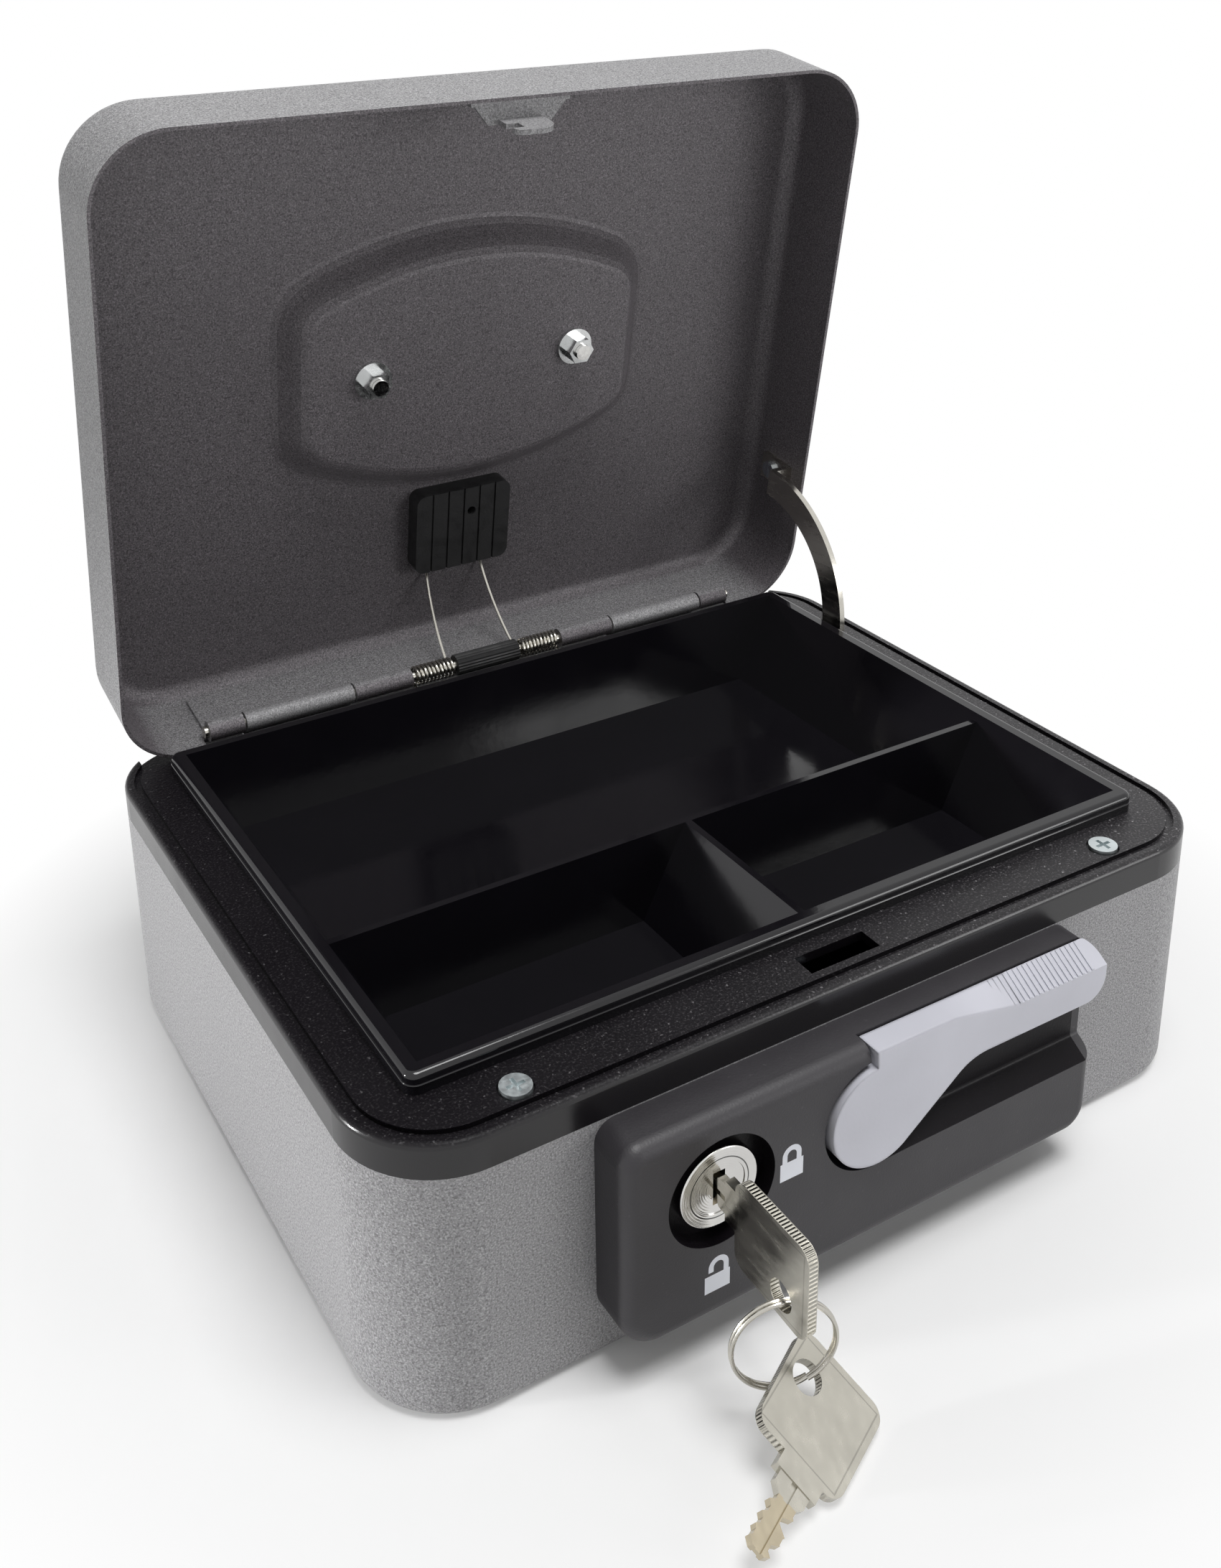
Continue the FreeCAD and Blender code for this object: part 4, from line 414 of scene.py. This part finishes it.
RUBBER = rubbery("black_rubber", (0.0075, 0.0073, 0.0078), worn=(0.013, 0.013, 0.0135))
LOCK_KEY = key_metal("lock_key_nickel", KEY_COLOR, KEY_TURN)
SPARE_KEY = key_metal("spare_key_nickel", KEY_COLOR, SPARE_TURN)

# Each node's finish. The rest are zinc plated.
FINISHES = {
    "body_shell": GREY, "lid_shell": LID_GREY_PAINTED_SHADE, "lid_hinge_leaf": LID_GREY_PAINTED_SHADE, "body_hinge_leaf": GREY,
    "latch_hook": HOOK_GREY, "top_frame": FRAME, "lock_housing": HOUSING, "latch_guide": FRAME,
    "cash_tray": TRAY, "release_lever": LEVER, "lock_cylinder": LOCK_CHROME, "lock_plug": LOCK_CHROME,
    "handle_bail": CHROME, "key_in_lock": LOCK_KEY, "spare_key": SPARE_KEY, "key_ring": NICKEL,
    "lid_stay": NICKEL, "lift_springs": NICKEL, "hinge_pin": NICKEL, "lift_pad": RUBBER,
    "spring_sleeve": RUBBER, "flange_nuts": NUT, "handle_lugs": CHROME, "frame_screws": SCREW,
}

# Softened edges: width in millimetres for the nodes whose corners catch light
EDGES = {
    "cash_tray": 0.5, "top_frame": 0.3, "lock_housing": 0.4, "release_lever": 0.6,
    "key_in_lock": 0.15, "spare_key": 0.15, "lid_shell": 0.15, "lid_stay": 0.2,
    "lift_pad": 0.4, "latch_hook": 0.2, "lid_hinge_leaf": 0.2, "body_shell": 0.2,
    "flange_nuts": 0.2, "frame_screws": 0.2, "lock_cylinder": 0.2,
}
SHARP_ABOVE = math.radians(35)
SOFTEN_ABOVE = math.radians(40)


def smooth(piece):
    """Smooth shading with sharp edges above an angle."""
    for face in piece.data.polygons:
        face.use_smooth = True
    piece.data.set_sharp_from_angle(angle=SHARP_ABOVE)


def soften(piece, width):
    """A narrow rounding of a node's corners, as a modifier."""
    made = piece.modifiers.new("edge", "BEVEL")
    made.width = width
    made.segments = 2
    made.limit_method = "ANGLE"
    made.angle_limit = SOFTEN_ABOVE
    made.harden_normals = True
    made.use_clamp_overlap = True


for name, node in nodes.items():
    node.data.materials.clear()
    node.data.materials.append(FINISHES.get(name, ZINC))
    smooth(node)
    if name in EDGES:
        soften(node, EDGES[name] * MM)


# Fine pieces
def add_piece(name, points, faces, material, body, slot, replaced=()):
    """A mesh piece in metres that rides on a body and takes the material given. The slot is not used."""
    mesh = bpy.data.meshes.new(name)
    mesh.from_pydata([tuple(point) for point in points], [], faces)
    mesh.validate()
    mesh.materials.append(material)
    piece = bpy.data.objects.new(name, mesh)
    bpy.context.scene.collection.objects.link(piece)
    smooth(piece)
    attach(piece, body)
    if replaced:
        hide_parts(*replaced)


def tube(path, radius, sides=10, closed=False):
    """Points and faces of a round wire along a path, its section carried without twist."""
    count = len(path)
    points = []
    side = None
    for place in range(count):
        before = path[place - 1] if place or closed else path[0]
        after = path[(place + 1) % count] if place + 1 < count or closed else path[-1]
        ahead = (after - before).normalized()
        side = ahead.orthogonal() if side is None else side - ahead * side.dot(ahead)
        side.normalize()
        up = ahead.cross(side)
        for step in range(sides):
            angle = math.tau * step / sides
            points.append(path[place] + (side * math.cos(angle) + up * math.sin(angle)) * radius)
    faces = []
    for place in range(count if closed else count - 1):
        ring = place * sides
        next_ring = ((place + 1) % count) * sides
        shift = 0
        if closed and place == count - 1:
            shift = min(range(sides), key=lambda step: (points[ring] - points[step]).length)
        for step in range(sides):
            next_step = (step + 1) % sides
            faces.append((ring + step, ring + next_step, next_ring + (next_step + shift) % sides,
                          next_ring + (step + shift) % sides))
    if not closed:
        faces.append(tuple(reversed(range(sides))))
        faces.append(tuple(range(len(points) - sides, len(points))))
    return points, faces


def joined(*parts):
    """Several sets of points and faces as one."""
    points = []
    faces = []
    for more_points, more_faces in parts:
        start = len(points)
        points += more_points
        faces += [tuple(corner + start for corner in face) for face in more_faces]
    return points, faces


def mirrored(points, faces):
    """Points and faces on the other side of the box's middle."""
    return [Vector((-x, y, z)) for x, y, z in points], [tuple(reversed(face)) for face in faces]


def coil(middle, radius, x_span, first, last, steps):
    """Points along a helix about X, with angles from +Y towards +Z."""
    path = []
    for step in range(steps + 1):
        share = step / steps
        angle = first + (last - first) * share
        x = x_span[0] + (x_span[1] - x_span[0]) * share
        path.append(middle + Vector((x, radius * math.cos(angle), radius * math.sin(angle))))
    return path


# The lid's spring: the coil on the pin, its angles, the wire, and the leg with its bow half way along
LID_COIL_RADIUS = 2.25 * MM
LID_COIL_SPAN = (-21 * MM, -10 * MM)
LID_COIL_TURNS = 10
LID_COIL_FIRST = math.radians(-10)
LID_COIL_LAST = math.radians(51.9 + LID_COIL_TURNS * 360)
LID_WIRE = 0.4 * MM
LID_TAIL = 4 * MM
LID_LEG = 29.6 * MM
LEG_BOW = 1.1 * MM
LEG_STEPS = 12


def lid_spring(bow):
    """One torsion spring on the hinge pin: a short tail, the coil and a long leg that bows into the pad."""
    path = coil(HINGE, LID_COIL_RADIUS, LID_COIL_SPAN, LID_COIL_FIRST, LID_COIL_LAST, steps=320)
    start = (path[0] - path[1]).normalized()
    end = (path[-1] - path[-2]).normalized()
    root = path[-1]
    path = [path[0] + start * LID_TAIL] + path
    for step in range(1, LEG_STEPS + 1):
        share = step / LEG_STEPS
        aside = bow * 4 * share * (1 - share)
        path.append(root + end * LID_LEG * share + Vector((aside, 0, 0)))
    return tube(path, LID_WIRE)


def lid_springs():
    """The pair of springs, whose legs both bow to the left."""
    points, faces = joined(lid_spring(-LEG_BOW), mirrored(*lid_spring(LEG_BOW)))
    points = [ON_LID @ point for point in points]
    add_piece("lid_spring_coils", points, faces, NICKEL, "lid", "nickel", ("lift_springs",))


# The latch's spring
PULL_MIDDLE = Vector((0, -71.6, 25.6)) * MM
PULL_SPAN = (12.6 * MM, 23.9 * MM)
PULL_RADIUS = 2.2 * MM
PULL_WIRE = 0.3 * MM
PULL_TURNS = 8


def pull_spring():
    """The latch slide's spring, between the slide's end and the guide's post."""
    path = coil(PULL_MIDDLE, PULL_RADIUS, PULL_SPAN, 0.0, math.tau * PULL_TURNS, steps=260)
    points, faces = tube(path, PULL_WIRE, sides=8)
    add_piece("latch_spring_coil", points, faces, ZINC, "slide", "zinc", ("latch_spring",))


# The key ring, and the shares of its wire where the step across starts and how long it is
RING_MIDDLE = Vector((-39.6, -108.3, 18.15)) * MM
RING_HEADING = math.radians(-20)
RING_RADIUS = 9.4 * MM
RING_WIRE = 0.4 * MM
RING_FIRST = math.radians(-62)
RING_TURNS = 2
RING_STEPS = 192
CROSS_FROM = 0.46
CROSS_LENGTH = 0.08


def split_ring():
    """Two turns of wire, side by side, with a step across from the first to the second."""
    turn = Matrix.Rotation(RING_HEADING, 4, "Z")
    path = []
    for step in range(RING_STEPS + 1):
        share = step / RING_STEPS
        angle = RING_FIRST + RING_TURNS * math.tau * share
        crossed = min(1.0, max(0.0, (share - CROSS_FROM) / CROSS_LENGTH))
        across = -RING_WIRE + 2 * RING_WIRE * crossed
        around = Vector((RING_RADIUS * math.cos(angle), across, RING_RADIUS * math.sin(angle)))
        path.append(RING_MIDDLE + turn @ around)
    add_piece("split_ring", *tube(path, RING_WIRE), NICKEL, "ring", "nickel", ("key_ring",))


def rounded_loop(half_x, front, rear, radius, z, steps=8):
    """Points in metres round a rectangle with rounded corners, given in millimetres."""
    path = []
    corners = ((half_x, rear, 0), (-half_x, rear, 90), (-half_x, front, 180), (half_x, front, 270))
    for x, y, turn in corners:
        middle_x = x - math.copysign(radius, x)
        middle_y = y - math.copysign(radius, y - (front + rear) / 2)
        for step in range(steps + 1):
            angle = math.radians(turn + 90 * step / steps)
            around = (middle_x + radius * math.cos(angle), middle_y + radius * math.sin(angle), z)
            path.append(Vector(around) * MM)
    return path


def rim_bead():
    """The thin edge under the rolled rim of the tray."""
    path = rounded_loop(half_x=87.95, front=-65.45, rear=66.45, radius=2.4, z=61.9)
    points, faces = tube(path, radius=0.28 * MM, sides=8, closed=True)
    add_piece("tray_rim_bead", points, faces, TRAY, "tray", "tray_black")


# The printed signs stand a little proud of the housing's front. Their sizes are in millimetres.
SIGN_FACE = HOUSING_FRONT - 0.02
SIGN_BACK = HOUSING_FRONT + 0.1
SHACKLE = 1.1
OPEN_SHIFT = 0.25
ARCH_STEPS = 18


def plate(outline):
    """A flat sign cut to an outline of (x, z) points in millimetres, standing across Y."""
    count = len(outline)
    points = [Vector((x, y, z)) * MM for y in (SIGN_FACE, SIGN_BACK) for x, z in outline]
    faces = [tuple(range(count)), tuple(reversed(range(count, 2 * count)))]
    for place in range(count):
        after = (place + 1) % count
        faces.append((place, place + count, after + count, after))
    return points, faces


def padlock_sign(name, left, low, width, height, rise, wide, lift):
    """A printed padlock: a body, and over it a shackle whose left leg is lifted when it is open.

    Left, low, width and height are the body's. Rise and wide are the shackle's, outside.
    """
    top = low + height
    near = left + (width - wide) * 0.5 + (OPEN_SHIFT if lift else 0.0)
    outer = wide / 2
    inner = outer - SHACKLE
    middle = near + outer
    spring = top + rise - outer

    def edge(radius, end):
        """One edge of the shackle, from its right foot over the arch to its left foot."""
        angles = [math.pi * step / ARCH_STEPS for step in range(ARCH_STEPS + 1)]
        arch = [(middle + radius * math.cos(angle), spring + radius * math.sin(angle)) for angle in angles]
        return [(middle + radius, top)] + arch + [(end, top + lift)]

    outside = edge(outer, near)
    inside = edge(inner, near + SHACKLE)
    strips = [plate([(left, low), (left + width, low), (left + width, top), (left, top)])]
    for place in range(len(outside) - 1):
        strips.append(plate([outside[place], outside[place + 1], inside[place + 1], inside[place]]))
    add_piece(name, *joined(*strips), PRINT, "box", "lever_grey")


lid_springs()
pull_spring()
split_ring()
rim_bead()
padlock_sign("locked_sign", left=-26.9, low=31.9, width=5.2, height=3.9, rise=3.5, wide=4.3, lift=0.0)
padlock_sign("unlocked_sign", left=-43.3, low=14.6, width=5.5, height=3.8, rise=3.8, wide=4.4, lift=0.7)

# Stage: a pale floor that fades to white, a grey dome of light, two soft lamps and one narrow beam
WHITE = (1, 1, 1, 1)
FLOOR_HALF = 6.0
FLOOR_COLOR = (0.88, 0.88, 0.88)
FADE = (0.095, 0.18)
DOME_LIGHT = 0.1


def seen_white(tree):
    """One for rays from the camera and for what shows in gloss or glass."""
    seen = tree.nodes.new("ShaderNodeLightPath")
    total = seen.outputs["Is Camera Ray"]
    for ray in ("Is Glossy Ray", "Is Transmission Ray"):
        made = tree.nodes.new("ShaderNodeMath")
        made.operation = "MAXIMUM"
        tree.links.new(total, made.inputs[0])
        tree.links.new(seen.outputs[ray], made.inputs[1])
        total = made.outputs[0]
    return total


def choose(tree, factor, first, second, output):
    """Mixes two shaders by a factor into a tree's output."""
    made = tree.nodes.new("ShaderNodeMixShader")
    tree.links.new(factor, made.inputs["Fac"])
    tree.links.new(first, made.inputs[1])
    tree.links.new(second, made.inputs[2])
    tree.links.new(made.outputs["Shader"], tree.nodes[output].inputs["Surface"])


def stage():
    """A wide floor that keeps the shadow near the box and turns white further out."""
    floor_mesh = bpy.data.meshes.new("floor")
    half = FLOOR_HALF
    corners = [(-half, -half, 0), (half, -half, 0), (half, half, 0), (-half, half, 0)]
    floor_mesh.from_pydata(corners, [], [(0, 1, 2, 3)])
    floor = bpy.data.objects.new("floor", floor_mesh)
    bpy.context.scene.collection.objects.link(floor)
    pale = Shader("pale_floor", FLOOR_COLOR, roughness=0.9)
    pale.bump(pale.noise(scale=60), depth=0.2 * MM)
    away = pale.vector("LENGTH", pale.place)["Value"]
    fade = pale.both(pale.span(away, 0.0, 1.0, *FADE), seen_white(pale.tree))
    white = pale.add("ShaderNodeEmission", Color=WHITE, Strength=1.0).outputs["Emission"]
    choose(pale.tree, fade, pale.surface.outputs["BSDF"], white, "Material Output")
    floor.data.materials.append(pale.material)


def backdrop():
    """White to the camera and in reflections, and a plain grey dome of light elsewhere."""
    world = bpy.data.worlds.new("studio")
    bpy.context.scene.world = world
    world.use_nodes = True
    tree = world.node_tree
    light = tree.nodes["Background"]
    light.inputs["Color"].default_value = WHITE
    light.inputs["Strength"].default_value = DOME_LIGHT
    white = tree.nodes.new("ShaderNodeBackground")
    white.inputs["Color"].default_value = WHITE
    choose(tree, seen_white(tree), light.outputs["Background"], white.outputs["Background"], "World Output")


def lamp(name, place, aim, size, power, spread=180):
    """A round lamp, in metres and watts, whose beam a spread in degrees can narrow."""
    data = bpy.data.lights.new(name, "AREA")
    data.spread = math.radians(spread)
    data.shape = "DISK"
    data.size = size
    data.energy = power
    made = bpy.data.objects.new(name, data)
    bpy.context.scene.collection.objects.link(made)
    made.location = place
    made.rotation_mode = "QUATERNION"
    made.rotation_quaternion = (Vector(aim) - Vector(place)).to_track_quat("-Z", "Y")


# The photograph's view, and its focal length and height in pixels
AZIMUTH = math.radians(-29.913)
ELEVATION = math.radians(19.165)
ROLL = math.radians(-1.161)
EYE = Vector((-177.83, -280.25, 255.18)) * MM
FOCAL_PIXELS = 2304.97
PHOTO_PIXELS = 2184
SENSOR = 36
NEAREST = 0.01
SHIFT_X = 0.0277
SHIFT_Y = -0.207


def camera():
    """The camera at the photograph's angle, with its roll about the line of sight."""
    flat = math.cos(ELEVATION)
    back = Vector((math.sin(AZIMUTH) * flat, -math.cos(AZIMUTH) * flat, math.sin(ELEVATION)))
    level = Vector((math.cos(AZIMUTH), math.sin(AZIMUTH), 0))
    upright = back.cross(level)
    right = level * math.cos(ROLL) + upright * math.sin(ROLL)
    up = upright * math.cos(ROLL) - level * math.sin(ROLL)
    data = bpy.data.cameras.new("camera")
    data.sensor_width = SENSOR
    data.lens = FOCAL_PIXELS / PHOTO_PIXELS * SENSOR
    data.shift_x = SHIFT_X
    data.shift_y = SHIFT_Y
    data.clip_start = NEAREST
    made = bpy.data.objects.new("camera", data)
    bpy.context.scene.collection.objects.link(made)
    turn = Matrix((right, up, back)).transposed().to_4x4()
    made.matrix_world = Matrix.Translation(EYE) @ turn
    bpy.context.scene.camera = made


stage()
backdrop()
lamp("top", place=(0.1, -0.35, 1.65), aim=(0, 0, 0.06), size=0.9, power=21)
lamp("key", place=(-1.25, 0.4, 0.1), aim=(-0.1, -0.005, 0.0), size=0.22, power=0.108, spread=6)
lamp("fill", place=(0.45, -0.6, 0.25), aim=(0.06, -0.09, 0.03), size=0.3, power=1.1)
camera()
bpy.context.scene.view_settings.view_transform = "Standard"
